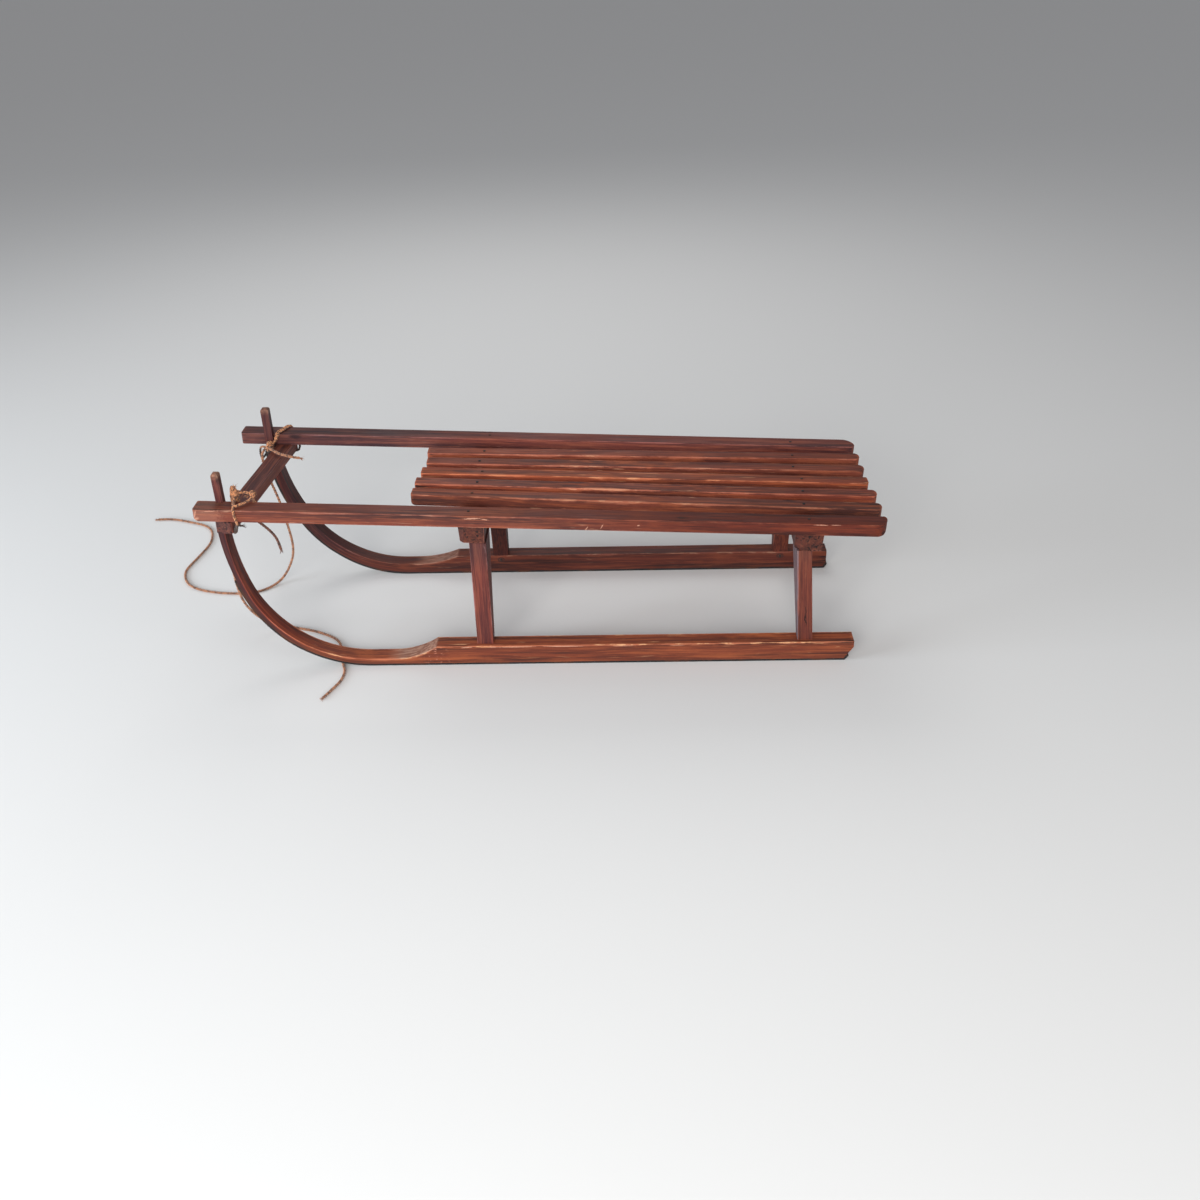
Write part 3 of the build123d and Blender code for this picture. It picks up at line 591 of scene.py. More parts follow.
class Nodes:
    """A new material, with short calls that add its nodes."""
    COLOUR_SLOTS = (6, 7)
    COLOUR_OUTPUT = 2

    def __init__(self, name):
        self.material = bpy.data.materials.new(name)
        self.material.use_nodes = True
        self.tree = self.material.node_tree
        self.shader = self.tree.nodes["Principled BSDF"]

    def fill(self, node, slot, value):
        """Link an input of a node to a socket, or set it to a constant."""
        if isinstance(value, Value):
            value = value.socket
        if isinstance(value, bpy.types.NodeSocket):
            self.tree.links.new(value, node.inputs[slot])
        elif value is not None:
            node.inputs[slot].default_value = value

    def shade(self, **inputs):
        """Fill inputs of the shader. A low line in a name stands for a space."""
        for name, value in inputs.items():
            self.fill(self.shader, name.replace("_", " "), value)

    def add(self, kind, *inputs, named=None, **options):
        """A node with options, and with inputs filled by their number or by their name."""
        node = self.tree.nodes.new(kind)
        for key, value in options.items():
            setattr(node, key, value)
        for slot, value in [*enumerate(inputs), *(named or {}).items()]:
            self.fill(node, slot, value)
        return node

    def math(self, operation, *inputs, clamp=False):
        node = self.add("ShaderNodeMath", *inputs, operation=operation, use_clamp=clamp)
        return Value(self, node.outputs[0])

    def smaller(self, first, second):
        return self.math("MINIMUM", first, second)

    def larger(self, first, second):
        return self.math("MAXIMUM", first, second)

    def above(self, value, limit):
        """1 where the value is above the limit, 0 elsewhere."""
        return self.math("GREATER_THAN", value, limit)

    def choose(self, test, without, with_it):
        """The first value where the test is 0, the second where it is 1."""
        node = self.add("ShaderNodeMix", test, None, without, with_it, data_type="FLOAT")
        return Value(self, node.outputs[0])

    def number(self, value):
        """A plain number where a value is asked for."""
        node = self.add("ShaderNodeValue")
        node.outputs[0].default_value = value
        return Value(self, node.outputs[0])

    def point(self):
        return self.add("ShaderNodeTexCoord").outputs["Object"]

    def vector(self, operation, *inputs):
        return self.add("ShaderNodeVectorMath", *inputs, operation=operation).outputs[0]

    def length(self, vector):
        return Value(self, self.add("ShaderNodeVectorMath", vector, operation="LENGTH").outputs["Value"])

    def split(self, vector):
        return [Value(self, socket) for socket in self.add("ShaderNodeSeparateXYZ", vector).outputs]

    def join(self, x, y, z):
        return self.add("ShaderNodeCombineXYZ", x, y, z).outputs[0]

    def noise(self, point, scale, detail=3.0, roughness=0.5, distortion=0.0):
        """Noise at a point, with one scale or with one for each axis."""
        if isinstance(scale, tuple):
            point = self.vector("MULTIPLY", point, scale)
            scale = 1.0
        named = {"Scale": scale, "Detail": detail, "Roughness": roughness, "Distortion": distortion}
        return Value(self, self.add("ShaderNodeTexNoise", point, named=named).outputs["Fac"])

    def grain_noise(self, grain, along, across, *rest):
        return self.noise(grain, (along, across, across), *rest)

    def mix(self, share, first, second, blend="MIX"):
        """A mix of two colours, each a socket, red, green and blue, or the name of a setting."""
        node = self.add("ShaderNodeMix", share, data_type="RGBA", blend_type=blend)
        for slot, colour in zip(self.COLOUR_SLOTS, (first, second)):
            if isinstance(colour, str):
                colour = getattr(settings(), colour)
            if not isinstance(colour, bpy.types.NodeSocket):
                colour = (*colour, 1.0)
            self.fill(node, slot, colour)
        return node.outputs[self.COLOUR_OUTPUT]

    def bump(self, height, strength, depth):
        node = self.add("ShaderNodeBump", named={"Strength": strength, "Distance": depth, "Height": height})
        self.shade(Normal=node.outputs[0])


def assign(piece, material):
    piece.data.materials.clear()
    piece.data.materials.append(material)


def stained_wood(nodes, grain, edge, end, seed, wear, tint, end_wear=0.5, bare_share=1.0):
    """Colour of stained wood, from a point whose first axis runs along the grain.

    The edge and the end are the distances to the nearest of each. The end wear is the share of worn wood at
    the ends, the bare share that of bare wood on the worn edges.
    """
    grain = nodes.vector("ADD", grain, SEED_STEP * seed)
    wave = nodes.grain_noise(grain, *WAVE_NOISE)
    grain = nodes.vector("ADD", grain, nodes.join(0.0, wave * WAVE_DEPTH, 0.0))
    noises = {name: nodes.grain_noise(grain, *values) for name, values in GRAIN_NOISES.items()}
    patches, chips, cracks = noises["patches"], noises["chips"], noises["cracks"]
    base = nodes.mix(noises["broad"].ramp(*STAIN_RUN), "dark_stain", "stain")
    for name, run, share, layer in STAIN_LAYERS:
        base = nodes.mix(noises[name].ramp(*run, 0.0, share), base, layer)

    # Knots in some cells of the wood
    in_cells = nodes.vector("MULTIPLY", grain, KNOT_CELLS)
    cells = nodes.add("ShaderNodeTexVoronoi", in_cells, named={"Scale": 1.0})
    chosen = nodes.above(nodes.split(cells.outputs["Color"])[0], CELLS_WITHOUT_KNOT)
    knots = Value(nodes, cells.outputs["Distance"]).ramp(*KNOT_RADII, 0.0, KNOT_SHARE) * chosen
    base = nodes.mix(knots, base, KNOT_COLOUR)

    # Wear: thin stain in patches, worn and bare edges, scratches, worn ends
    base = nodes.mix(patches.ramp(*THIN_RUN) * (wear * THIN_SHARE), base, "worn_wood")
    reach = noises["rub"].ramp(*RUB_RUN) * (wear * EDGE_WEAR_REACH) + EDGE_REACH
    worn = nodes.math("SUBTRACT", 1.0, edge / reach, clamp=True)
    worn = worn * nodes.math("MULTIPLY", wear, EDGE_GAIN, clamp=True)
    base = nodes.mix(worn * EDGE_SHARE, base, "worn_edge")
    bare = worn.ramp(*BARE_RUN) * chips.ramp(*BARE_CHIP_RUN) * (wear * bare_share)
    base = nodes.mix(bare, base, "bare_wood")
    base = nodes.mix(noises["scratches"].ramp(*SCRATCH_RUN) * (wear * SCRATCH_SHARE), base, "bare_wood")
    at_end = end.ramp(*END_RUN, 0.0, end_wear) * chips.ramp(*END_CHIP_RUN)
    base = nodes.mix(at_end, base, "worn_wood")

    # Cracks at the ends, with finer and denser ones in the last millimetres
    long_cracks = cracks.ramp(*CRACK_RUN) * end.ramp(*CRACK_REACH)
    fine_cracks = cracks.ramp(*FINE_CRACK_RUN) * end.ramp(*FINE_CRACK_REACH)
    split = nodes.larger(long_cracks, fine_cracks * chips.ramp(*FINE_CRACK_CHIP_RUN))
    base = nodes.mix(split * CRACK_SHARE, base, CRACK_COLOUR)

    roughness = patches.ramp(*PATCH_RUN, *STAIN_ROUGHNESS) + worn * EDGE_ROUGHNESS
    nodes.shade(Roughness=roughness, Specular_IOR_Level=STAIN_SHINE)
    relief = noises["fine"] * GRAIN_RELIEF + noises["pores"] * PORE_RELIEF - split * CRACK_RELIEF
    nodes.bump(relief, *WOOD_BUMP)
    return nodes.mix(1.0, base, tint, "MULTIPLY")


def add_marks(nodes, base, local, marks):
    """The base colour with ragged scratches: place along and up, half sizes, turn and strength of each."""
    ragged = nodes.noise(local, *MARK_NOISE)
    for along, up, half_length, half_width, turn, strength in marks:
        moved = nodes.vector("SUBTRACT", local, (along, 0.0, up))
        turned = nodes.add("ShaderNodeVectorRotate", moved, rotation_type="Y_AXIS", named={"Angle": turn})
        x, y, z = nodes.split(turned.outputs[0])
        far = nodes.length(nodes.join(x / half_length, 0.0, z / half_width))
        far = far + (ragged - 0.5) * MARK_RAGGEDNESS
        base = nodes.mix(far.ramp(*MARK_RUN, 0.0, strength), base, "scratched_wood")
    return base


def bar_wood(name, place, size, seed, wear, tint, rear_tint=None, tint_run=SLAT_TINT_RUN, end_tint=None,
             seat_wear=0.0, end_wear=0.5, bare_share=0.3, marks=()):
    """Stained wood for a straight bar: its grain runs along its first axis and its edges are worn."""
    nodes = Nodes(name)
    point = nodes.point()
    x = nodes.split(point)[0]
    local = nodes.add("ShaderNodeMapping", point, tuple(place.translation), tuple(place.to_euler("XYZ")),
                      vector_type="TEXTURE").outputs[0]
    deep_x, deep_y, deep_z = [length / 2 - abs(value) for value, length in zip(nodes.split(local), size)]
    # The middle one of the three depths is the distance to the nearest edge
    edge = nodes.larger(nodes.smaller(deep_x, deep_y), nodes.smaller(nodes.larger(deep_x, deep_y), deep_z))
    if seat_wear:
        wear = wear + abs(x - SEAT_MIDDLE).ramp(*SEAT_REACH, 0.0, seat_wear)
    if rear_tint:
        tint = nodes.mix(x.ramp(*tint_run), tint, rear_tint)
    if end_tint:
        tint = nodes.mix(deep_x.ramp(*END_FACE_RUN), tint, end_tint)
    base = stained_wood(nodes, local, edge, deep_x, seed, wear, tint, end_wear, bare_share)
    nodes.shade(Base_Color=add_marks(nodes, base, local, marks))
    return nodes.material


def post_wood(name, seed):
    """Stained wood for a tapered post, its grain upright and its edges worn."""
    sign, foot, length, head = POSTS[name]
    foot_tint, head_tint, front_sheen, crack = POST_LOOKS[name]
    nodes = Nodes(name + "_wood")
    point = nodes.point()
    x, y, z = nodes.split(point)
    foot_middle = DECK_FRONT.x + foot + length / 2
    along = x - z.line(*POST_HEIGHTS, foot_middle, foot_middle + head - foot)
    side = y * sign
    depth = z.line(*POST_HEIGHTS, POST_FOOT_DEPTH, POST_HEAD_DEPTH)
    edge_y = nodes.smaller(POST_OUTER - side, side - (POST_OUTER - depth))
    edge = nodes.larger(length / 2 - abs(along), edge_y)
    no_end = nodes.number(POST_END_DISTANCE)
    tint = nodes.mix(z.ramp(*POST_TINT_RUN), foot_tint, head_tint)
    grain = nodes.join(z, along, side)
    base = stained_wood(nodes, grain, edge, no_end, seed, POST_WEAR, tint, bare_share=POST_BARE_SHARE)
    # Painted reflection: the front face is painted paler and bluish in specks, as if lit from the front
    front_face = (along + length / 2).ramp(*FRONT_FACE_RUN)
    sheen_specks = nodes.noise(point, *FRONT_SHEEN_NOISE).ramp(*FRONT_SHEEN_RUN, FRONT_SHEEN_LEAST * front_sheen, front_sheen)
    base = nodes.mix(front_face * sheen_specks, base, FRONT_SHEEN_COLOUR)
    wander = nodes.noise(point, *POST_CRACK_NOISE) - POST_CRACK_MIDDLE
    aside = abs(along + wander * POST_CRACK_WANDER)
    up = abs(z - POST_CRACK_HEIGHT)
    split = aside.ramp(*POST_CRACK_WIDTH, 0.0, crack) * up.ramp(*POST_CRACK_REACH)
    nodes.shade(Base_Color=nodes.mix(split, base, POST_CRACK_COLOUR))
    return nodes.material


def bend_values(side):
    """Start, front and top of a runner's bend, the radii of its two arcs and the angle where they meet."""
    neck, radius, angle = RUNNERS[side][1:4]
    rail_bottom = DECK_FRONT.z - neck * math.tan(DECK_SLOPE) - RAIL_THICKNESS / math.cos(DECK_SLOPE)
    top = rail_bottom - NECK_DROP
    joint = SOLE_THICKNESS + radius * (1 - math.cos(angle))
    upper = (top - joint) / math.cos(angle)
    front = DECK_FRONT.x + neck
    start = front + radius * math.sin(angle) + upper * (1 - math.sin(angle))
    return start, front, top, radius, upper, angle


def arc_place(nodes, x, z, centre, radius):
    """The angle from straight down around a centre and the depth inside the arc, for a point of the run."""
    ahead = centre[0] - x
    below = centre[1] - z
    angle = nodes.math("ARCTAN2", ahead, below)
    return angle, radius - nodes.math("SQRT", ahead * ahead + below * below)


def run_place(nodes, side):
    """A point of a runner: x, z, its place along the run, depth inside the sole's line, and place across.

    The run is 0 at the start of the bend. Its values where the arcs meet and at the neck come last.
    """
    start, front, top, radius, upper, angle = bend_values(side)
    sign = RUNNERS[side][0]
    x, y, z = nodes.split(nodes.point())
    low_turn, low_depth = arc_place(nodes, x, z, (start, SOLE_THICKNESS + radius), radius)
    high_turn, high_depth = arc_place(nodes, x, z, (front + upper, top), upper)
    offset = (radius - upper) * angle
    neck_run = offset + upper * math.pi / 2
    run, depth = low_turn * radius, low_depth
    for test, next_run, next_depth in (
        (nodes.above(low_turn, angle), high_turn * upper + offset, high_depth),
        (nodes.above(x, start), start - x, z - SOLE_THICKNESS),
        (nodes.above(z, top), z + (neck_run - top), x - front),
    ):
        run = nodes.choose(test, run, next_run)
        depth = nodes.choose(test, depth, next_depth)
    across = y * sign + z.line(*LEAN_HEIGHTS, 0.0, RUNNER_LEAN) - RUNNER_MIDDLE_Y
    return x, z, run, depth, across, radius * angle, neck_run


def runner_thickness(nodes, side, x, run, joint_run, neck_run):
    """How thick a runner is: its bend is thin, and over the scarf the thickness rises in an arc."""
    start, joint, neck = RUNNERS[side][4]
    thin = run.line(0.0, joint_run, start, joint) + run.line(joint_run, neck_run, 0.0, neck - joint)
    rise = RUNNER_HEIGHT - start
    length = SCARF[1] - SCARF[0]
    radius = (length ** 2 + rise ** 2) / (2 * rise)
    behind = x.line(*SCARF, 0.0, length)
    return thin + radius - nodes.math("SQRT", radius ** 2 - behind * behind)


def runner_tint(nodes, look, z, bend, neck, from_top):
    """The tint of a runner. It changes along the bend and the neck, on the top, where light is painted, and
    on the peg.
    """
    tints = []
    for straight_tint, bend_tint, neck_tint in (look["side_tints"], look["lit_top_tints"]):
        tints.append(nodes.mix(neck, nodes.mix(bend, straight_tint, bend_tint), neck_tint))
    # Painted light: the upper faces take the lighter top tints
    tint = nodes.mix(from_top.ramp(*LIT_TOP_TINT_RUN), *tints)
    return nodes.mix(z.ramp(*PEG_TINT_RUN), tint, look["peg_tint"])


def add_pin_rings(nodes, base, side, x, z, across):
    """The base colour with a dark ring around the pin of each post's tenon, on the runner's inner face."""
    begin, full, thin, end = RING_RADII
    inner_face = across.ramp(*INNER_FACE_RUN)
    for name, (sign, foot, length, head) in POSTS.items():
        if name.endswith(side):
            ahead = x - (DECK_FRONT.x + foot + length / 2)
            far = nodes.length(nodes.join(ahead, (z - PIN_HEIGHT) * RING_FLATTENING, 0.0))
            ring = far.ramp(begin, full, 0.0, RING_SHARE) * far.ramp(end, thin) * inner_face
            base = nodes.mix(ring, base, RING_COLOUR)
    return base


def runner_wood(side, seed):
    """Stained wood for a runner: its grain follows the bend, and its scarf and upper edges are worn pale."""
    nodes = Nodes(f"runner_{side}_wood")
    x, z, run, depth, across, joint_run, neck_run = run_place(nodes, side)
    look = RUNNER_LOOKS[side]
    scarf_share, fleck_share, crown_share = look["shares"]
    grain = nodes.join(run, depth, across)
    from_top = runner_thickness(nodes, side, x, run, joint_run, neck_run) - depth
    edge = nodes.larger(RUNNER_WIDTH / 2 - abs(across), nodes.smaller(abs(depth), abs(from_top)))
    end = nodes.smaller(RUNNER_REAR - x, PEG_TOP - z)
    bend = run.ramp(BEND_START, joint_run)
    neck = run.ramp(joint_run * NECK_START, neck_run)

    # Most wear lies on the scarf and the upper edges, little on the bend and just above the sole
    front, rear = SCARF
    on_scarf = abs(x - (front + rear) / 2).ramp(*SCARF_WEAR_RUN) * abs(from_top).ramp(*SCARF_FACE_RUN)
    wear = RUNNER_WEAR + on_scarf * SCARF_WEAR + from_top.ramp(*UPPER_EDGE_RUN) * UPPER_EDGE_WEAR
    wear = wear * (1.0 - bend * BEND_WEAR_LOSS) * depth.ramp(*SOLE_WEAR_RUN, SOLE_WEAR, 1.0)
    tint = runner_tint(nodes, look, z, bend, neck, from_top)
    base = stained_wood(nodes, grain, edge, end, seed, wear, tint, RUNNER_END_WEAR, RUNNER_BARE_SHARE)
    base = add_pin_rings(nodes, base, side, x, z, across)

    # The pale cut of the scarf, and the flecks around its rear end
    cut = from_top.ramp(*CUT_FACE_RUN, 0.0, scarf_share)
    cut = cut * (x - front).ramp(*CUT_FRONT_RUN) * (x - rear).ramp(*CUT_REAR_RUN)
    streaks = nodes.noise(grain, *CUT_NOISE).ramp(*CUT_STREAK_RUN)
    base = nodes.mix(cut, base, nodes.mix(streaks, *SCARF_COLOURS))
    around = abs(x - (rear - FLECK_STEP)).ramp(*FLECK_REACH)
    flecks = nodes.noise(nodes.point(), *FLECK_NOISE).ramp(*FLECK_RUN, 0.0, fleck_share)
    base = nodes.mix(around * flecks, base, RUBBED_COLOUR)

    # The tan crown of the peg
    crown = (PEG_TOP - z).ramp(*CROWN_REACH, 0.0, crown_share)
    spots = nodes.noise(grain, *CROWN_NOISE).ramp(*CROWN_SPOT_RUN)
    base = nodes.mix(crown, base, nodes.mix(spots, *CROWN_COLOURS))
    nodes.shade(Base_Color=add_marks(nodes, base, nodes.point(), look["marks"]))
    return nodes.material


def iron_material():
    """Blackened iron with rust, rubbed brighter in places."""
    nodes = Nodes("blackened_iron")
    point = nodes.point()
    scale = nodes.noise(point, *SCALE_NOISE)
    base = nodes.mix(nodes.noise(point, *RUST_NOISE).ramp(*RUST_RUN), "iron", "rust")
    base = nodes.mix(scale.ramp(*RUBBED_IRON_RUN, 0.0, RUBBED_IRON_SHARE), base, RUBBED_IRON_COLOUR)
    roughness = scale.ramp(*IRON_ROUGHNESS_RUN, *IRON_ROUGHNESS)
    nodes.shade(Base_Color=base, Roughness=roughness, Metallic=IRON_METAL)
    nodes.bump(scale, *IRON_BUMP)
    return nodes.material


def cord_material(name):
    """Material of twisted cord. That of the lashings is painted dark under the rails, as painted shade."""
    light_shares, light_run, dirt_scale, dirt_run, dirt_share, tint = CORD_LOOKS[name]
    nodes = Nodes(name)
    point = nodes.point()
    cord = Vector(settings().cord_colour)
    fibres = nodes.noise(point, *FIBRE_NOISE)
    base = nodes.mix(fibres.ramp(*light_run), cord, cord * Vector(light_shares))
    dirt = nodes.noise(point, dirt_scale, *DIRT_DETAIL).ramp(*dirt_run, 0.0, dirt_share)
    base = nodes.mix(dirt, base, cord * Vector(DIRT_SHARES))
    base = nodes.mix(1.0, base, tint, "MULTIPLY")
    if name == "lashing_cord":
        # Painted shade: the lashings' cord turns dark below the rails' undersides
        height = nodes.split(point)[2]
        base = nodes.mix(height.ramp(*UNDER_RAIL_SHADE_RUN, 0.0, UNDER_RAIL_SHADE_SHARE), base, UNDER_RAIL_SHADE_COLOUR)
    nodes.shade(Base_Color=base, Roughness=CORD_ROUGHNESS, Sheen_Weight=CORD_SHEEN)
    nodes.bump(fibres, *CORD_BUMP)
    return nodes.material


def deck_place(place, y, drop, turn=0.0):
    return DECK_MATRIX @ Matrix.Translation((place, y, -drop)) @ Matrix.Rotation(turn, 4, "Z")


def slat_line(index, place):
    """Where the middle line of a slat lies across the deck at a place, and its spread towards the rear."""
    step = index - (len(SLATS) - 1) / 2
    spread = step * (SLAT_PITCHES[1] - SLAT_PITCHES[0]) / (SLAT_PLACES[1] - SLAT_PLACES[0])
    return step * SLAT_PITCHES[0] + spread * (place - SLAT_PLACES[0]), spread


class SLED_OT_stage(bpy.types.Operator):
    """Set up the floor, the lamps and the camera."""
    bl_idname = "sled.stage"
    bl_label = "Stage"

    def execute(self, context):
        scene = context.scene
        scene.view_settings.view_transform = "Standard"
        world = bpy.data.worlds.new("Studio")
        scene.world = world
        world.use_nodes = True
        background = world.node_tree.nodes["Background"]
        background.inputs["Color"].default_value = SKY_COLOUR
        background.inputs["Strength"].default_value = SKY_STRENGTH
        bpy.ops.object.select_all(action="DESELECT")
        bpy.ops.mesh.primitive_plane_add(size=FLOOR_SIZE)
        floor = context.object
        floor.name = "floor"
        nodes = Nodes("pale_floor")
        nodes.shade(Base_Color=(*settings().floor_colour, 1.0), Roughness=0.9)
        assign(floor, nodes.material)
        for name, (place, size, share, colour) in LAMPS.items():
            lamp = bpy.data.lights.new(name, "AREA")
            lamp.size = size
            lamp.color = colour
            lamp.energy = settings().lamp_power * share
            lamp_object = bpy.data.objects.new(name, lamp)
            lamp_object.location = place
            lamp_object.rotation_euler = (LAMP_TARGET - Vector(place)).to_track_quat("-Z", "Y").to_euler()
            scene.collection.objects.link(lamp_object)
        camera = bpy.data.cameras.new("view")
        camera.lens = CAMERA_LENS
        camera.sensor_width = CAMERA_LENS
        camera_object = bpy.data.objects.new("view", camera)
        camera_object.matrix_world = Matrix.Translation(CAMERA_PLACE) @ self.camera_turn().to_4x4()
        scene.collection.objects.link(camera_object)
        scene.camera = camera_object
        return {"FINISHED"}

    @staticmethod
    def camera_turn():
        """The camera's turn from its yaw, pitch and roll."""
        level = Vector((math.sin(CAMERA_YAW), math.cos(CAMERA_YAW), 0.0))
        side = Vector((math.cos(CAMERA_YAW), -math.sin(CAMERA_YAW), 0.0))
        upright = Vector((0.0, 0.0, 1.0))
        ahead = level * math.cos(CAMERA_PITCH) - upright * math.sin(CAMERA_PITCH)
        up = upright * math.cos(CAMERA_PITCH) + level * math.sin(CAMERA_PITCH)
        right = side * math.cos(CAMERA_ROLL) + up * math.sin(CAMERA_ROLL)
        top = up * math.cos(CAMERA_ROLL) - side * math.sin(CAMERA_ROLL)
        return Matrix((right, top, -ahead)).transposed()


def link(piece):
    bpy.context.scene.collection.objects.link(piece)
    return piece


def select_only(*pieces):
    """Select these pieces and make the first one active."""
    bpy.ops.object.select_all(action="DESELECT")
    for piece in pieces:
        piece.select_set(True)
    bpy.context.view_layer.objects.active = pieces[0]


def route_points(name, points):
    """Points along the smooth line of a route."""
    curve = bpy.data.curves.new(name, "CURVE")
    curve.dimensions = "3D"
    curve.resolution_u = 12
    spline = curve.splines.new("NURBS")
    spline.points.add(len(points) - 1)
    for target, place in zip(spline.points, points):
        target.co = (*place, 1.0)
    spline.order_u = 3
    spline.use_endpoint_u = True
    holder = link(bpy.data.objects.new(name, curve))
    depsgraph = bpy.context.evaluated_depsgraph_get()
    mesh = bpy.data.meshes.new_from_object(holder.evaluated_get(depsgraph))
    line = [vertex.co.copy() for vertex in mesh.vertices]
    bpy.data.objects.remove(holder)
    bpy.data.curves.remove(curve)
    bpy.data.meshes.remove(mesh)
    return line


def line_length(line):
    return sum((after - before).length for before, after in zip(line, line[1:]))


def even_line(line, step):
    """The same line with points an even step apart."""
    count = max(2, round(line_length(line) / step))
    spacing = line_length(line) / count
    points = [line[0].copy()]
    travelled = 0.0
    for before, after in zip(line, line[1:]):
        run = (after - before).length
        while run > TINY and travelled + run >= spacing * len(points) - TINY and len(points) <= count:
            share = (spacing * len(points) - travelled) / run
            points.append(before.lerp(after, min(1.0, share)))
        travelled += run
    while len(points) < count + 1:
        points.append(line[-1].copy())
    return points


def strand_lines(line, offset, lay, strands, start_turn):
    """Lines of the strands that twist around a line."""
    lines = [[] for _ in range(strands)]
    tangent = (line[1] - line[0]).normalized()
    across = tangent.orthogonal().normalized()
    travelled = 0.0
    for index, point in enumerate(line):
        ahead = line[min(index + 1, len(line) - 1)] - line[max(index - 1, 0)]
        ahead.normalize()
        across = (across - ahead * across.dot(ahead)).normalized()
        beside = ahead.cross(across)
        if index:
            travelled += (point - line[index - 1]).length
        for strand in range(strands):
            angle = start_turn + 2 * math.pi * (travelled / lay + strand / strands)
            lines[strand].append(point + (across * math.cos(angle) + beside * math.sin(angle)) * offset)
    return lines


def tubes(name, lines, resolution=2):
    """One mesh of round tubes, each given as its points and its radii."""
    curve = bpy.data.curves.new(name, "CURVE")
    curve.dimensions = "3D"
    curve.bevel_depth = 1.0
    curve.bevel_resolution = resolution
    curve.use_fill_caps = True
    for points, radii in lines:
        spline = curve.splines.new("POLY")
        spline.points.add(len(points) - 1)
        for target, place, radius in zip(spline.points, points, radii):
            target.co = (*place, 1.0)
            target.radius = radius
    select_only(link(bpy.data.objects.new(name, curve)))
    bpy.ops.object.convert(target="MESH")
    piece = bpy.context.object
    bpy.ops.object.mode_set(mode="EDIT")
    bpy.ops.mesh.select_all(action="SELECT")
    bpy.ops.mesh.remove_doubles(threshold=0.00001)
    bpy.ops.mesh.normals_make_consistent(inside=False)
    bpy.ops.object.mode_set(mode="OBJECT")
    bpy.ops.object.shade_smooth()
    return piece


def twisted(line, seed=1, share=1.0):
    """Strands of a twisted cord along a line. The share is the part of the full thickness."""
    diameter = settings().cord_diameter * share
    strand_radius = diameter / 2 / STRANDS_ACROSS
    offset = diameter / 2 - strand_radius
    points = even_line(line, CORD_STEP)
    swellings = [1 + SWELLING * math.sin(index * SWELLING_TURN + seed) for index in range(len(points))]
    radii = [strand_radius * swelling for swelling in swellings]
    strands = strand_lines(points, offset, settings().cord_lay, STRANDS, seed * SEED_TURN)
    return [(strand, radii) for strand in strands]


def outwards(chance, ahead):
    """A random direction square to the way ahead."""
    return Matrix.Rotation(chance.uniform(0, 2 * math.pi), 3, ahead) @ ahead.orthogonal().normalized()


def loose_fibres(points, chance):
    """Short fibres that stand off a cord."""
    diameter = settings().cord_diameter
    lines = []
    for index in range(1, len(points) - 1):
        ahead = (points[index + 1] - points[index]).normalized()
        out = outwards(chance, ahead)
        root = points[index] + out * diameter * FIBRE_ROOT
        length = chance.uniform(*FIBRE_LENGTHS)
        lean = ahead * chance.choice((-1, 1)) * chance.uniform(*FIBRE_LEANS)
        middle = root + (out * 0.25 + lean * 0.4) * length
        tip = root + (out * 0.6 + lean * 0.8) * length
        for point in (middle, tip):
            point.z = max(point.z, FIBRE_FLOOR)
        lines.append(([root, middle, tip], FIBRE_RADII))
    return lines


def frayed_end(points, chance):
    """A tuft of fibres at the end of a cord."""
    diameter = settings().cord_diameter
    ahead = (points[-1] - points[-3]).normalized()
    on_floor = points[-1].z < 0.01
    lines = []
    for _ in range(FRAY_COUNT):
        across = outwards(chance, ahead)
        spread = chance.uniform(*FRAY_SPREADS)
        length = chance.uniform(*FRAY_LENGTHS)
        root = points[-1] - ahead * 0.001 + across * diameter * FRAY_ROOT * spread
        middle = root + (ahead + across * spread * 0.3) * length * 0.5
        tip = root + (ahead + across * spread * 0.8) * length
        if on_floor:
            middle.z = max(middle.z, FRAY_FLOOR[0])
            tip.z = max(tip.z, FRAY_FLOOR[1])
        lines.append(([root, middle, tip], FRAY_RADII))
    return lines


def fibres(line, seed):
    """Loose fibres along a cord and a frayed tuft at its end."""
    points = even_line(line, FIBRE_STEP)
    chance = random.Random(seed)
    return loose_fibres(points, chance) + frayed_end(points, chance)


def add_cord_mesh(name, lines, material, resolution=2):
    """One piece of cord that rides on the root body."""
    piece = tubes(name, lines, resolution)
    assign(piece, material)
    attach(piece, "root")
    return piece


class SLED_OT_cords(bpy.types.Operator):
    """Make the loose pull cords and the two short loose ends."""
    bl_idname = "sled.cords"
    bl_label = "Cords"

    def execute(self, context):
        plain = cord_material("twisted_cord")
        shaded = cord_material("shaded_cord")
        for seed, (name, route) in enumerate(CORD_ROUTES.items(), 1):
            # The left loose end takes the shaded cord: painted shade, as it hangs in the sled's shade
            material = shaded if name == "tail_left" else plain
            line = route_points(name + "_line", route)
            piece = add_cord_mesh(name + "_twist", twisted(line, seed), material)
            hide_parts(name)
            fuzz = add_cord_mesh(name + "_fibres", fibres(line, seed), material, 0)
            line_length(line)
        return {"FINISHED"}


class SLED_OT_lashings(bpy.types.Operator):
    """Make the two lashings of twisted cord, with their knots, that hold the crossbar under the rails."""
    bl_idname = "sled.lashings"
    bl_label = "Lashings"

    def execute(self, context):
        material = cord_material("lashing_cord")
        for number, (name, lines) in enumerate(LASHINGS.items()):
            strands = []
            hairs = []
            for seed, route in enumerate(lines.values(), number * 7):
                points = [tuple(DECK_MATRIX @ Vector(place)) for place in route]
                line = route_points(f"{name}_line_{seed}", points)
                strands += twisted(line, seed, LASHING_SHARE)
                hairs += fibres(line, seed)
            piece = add_cord_mesh(name + "_twist", strands, material)
            add_cord_mesh(name + "_fibres", hairs, material, 0)
            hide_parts(name)
        return {"FINISHED"}


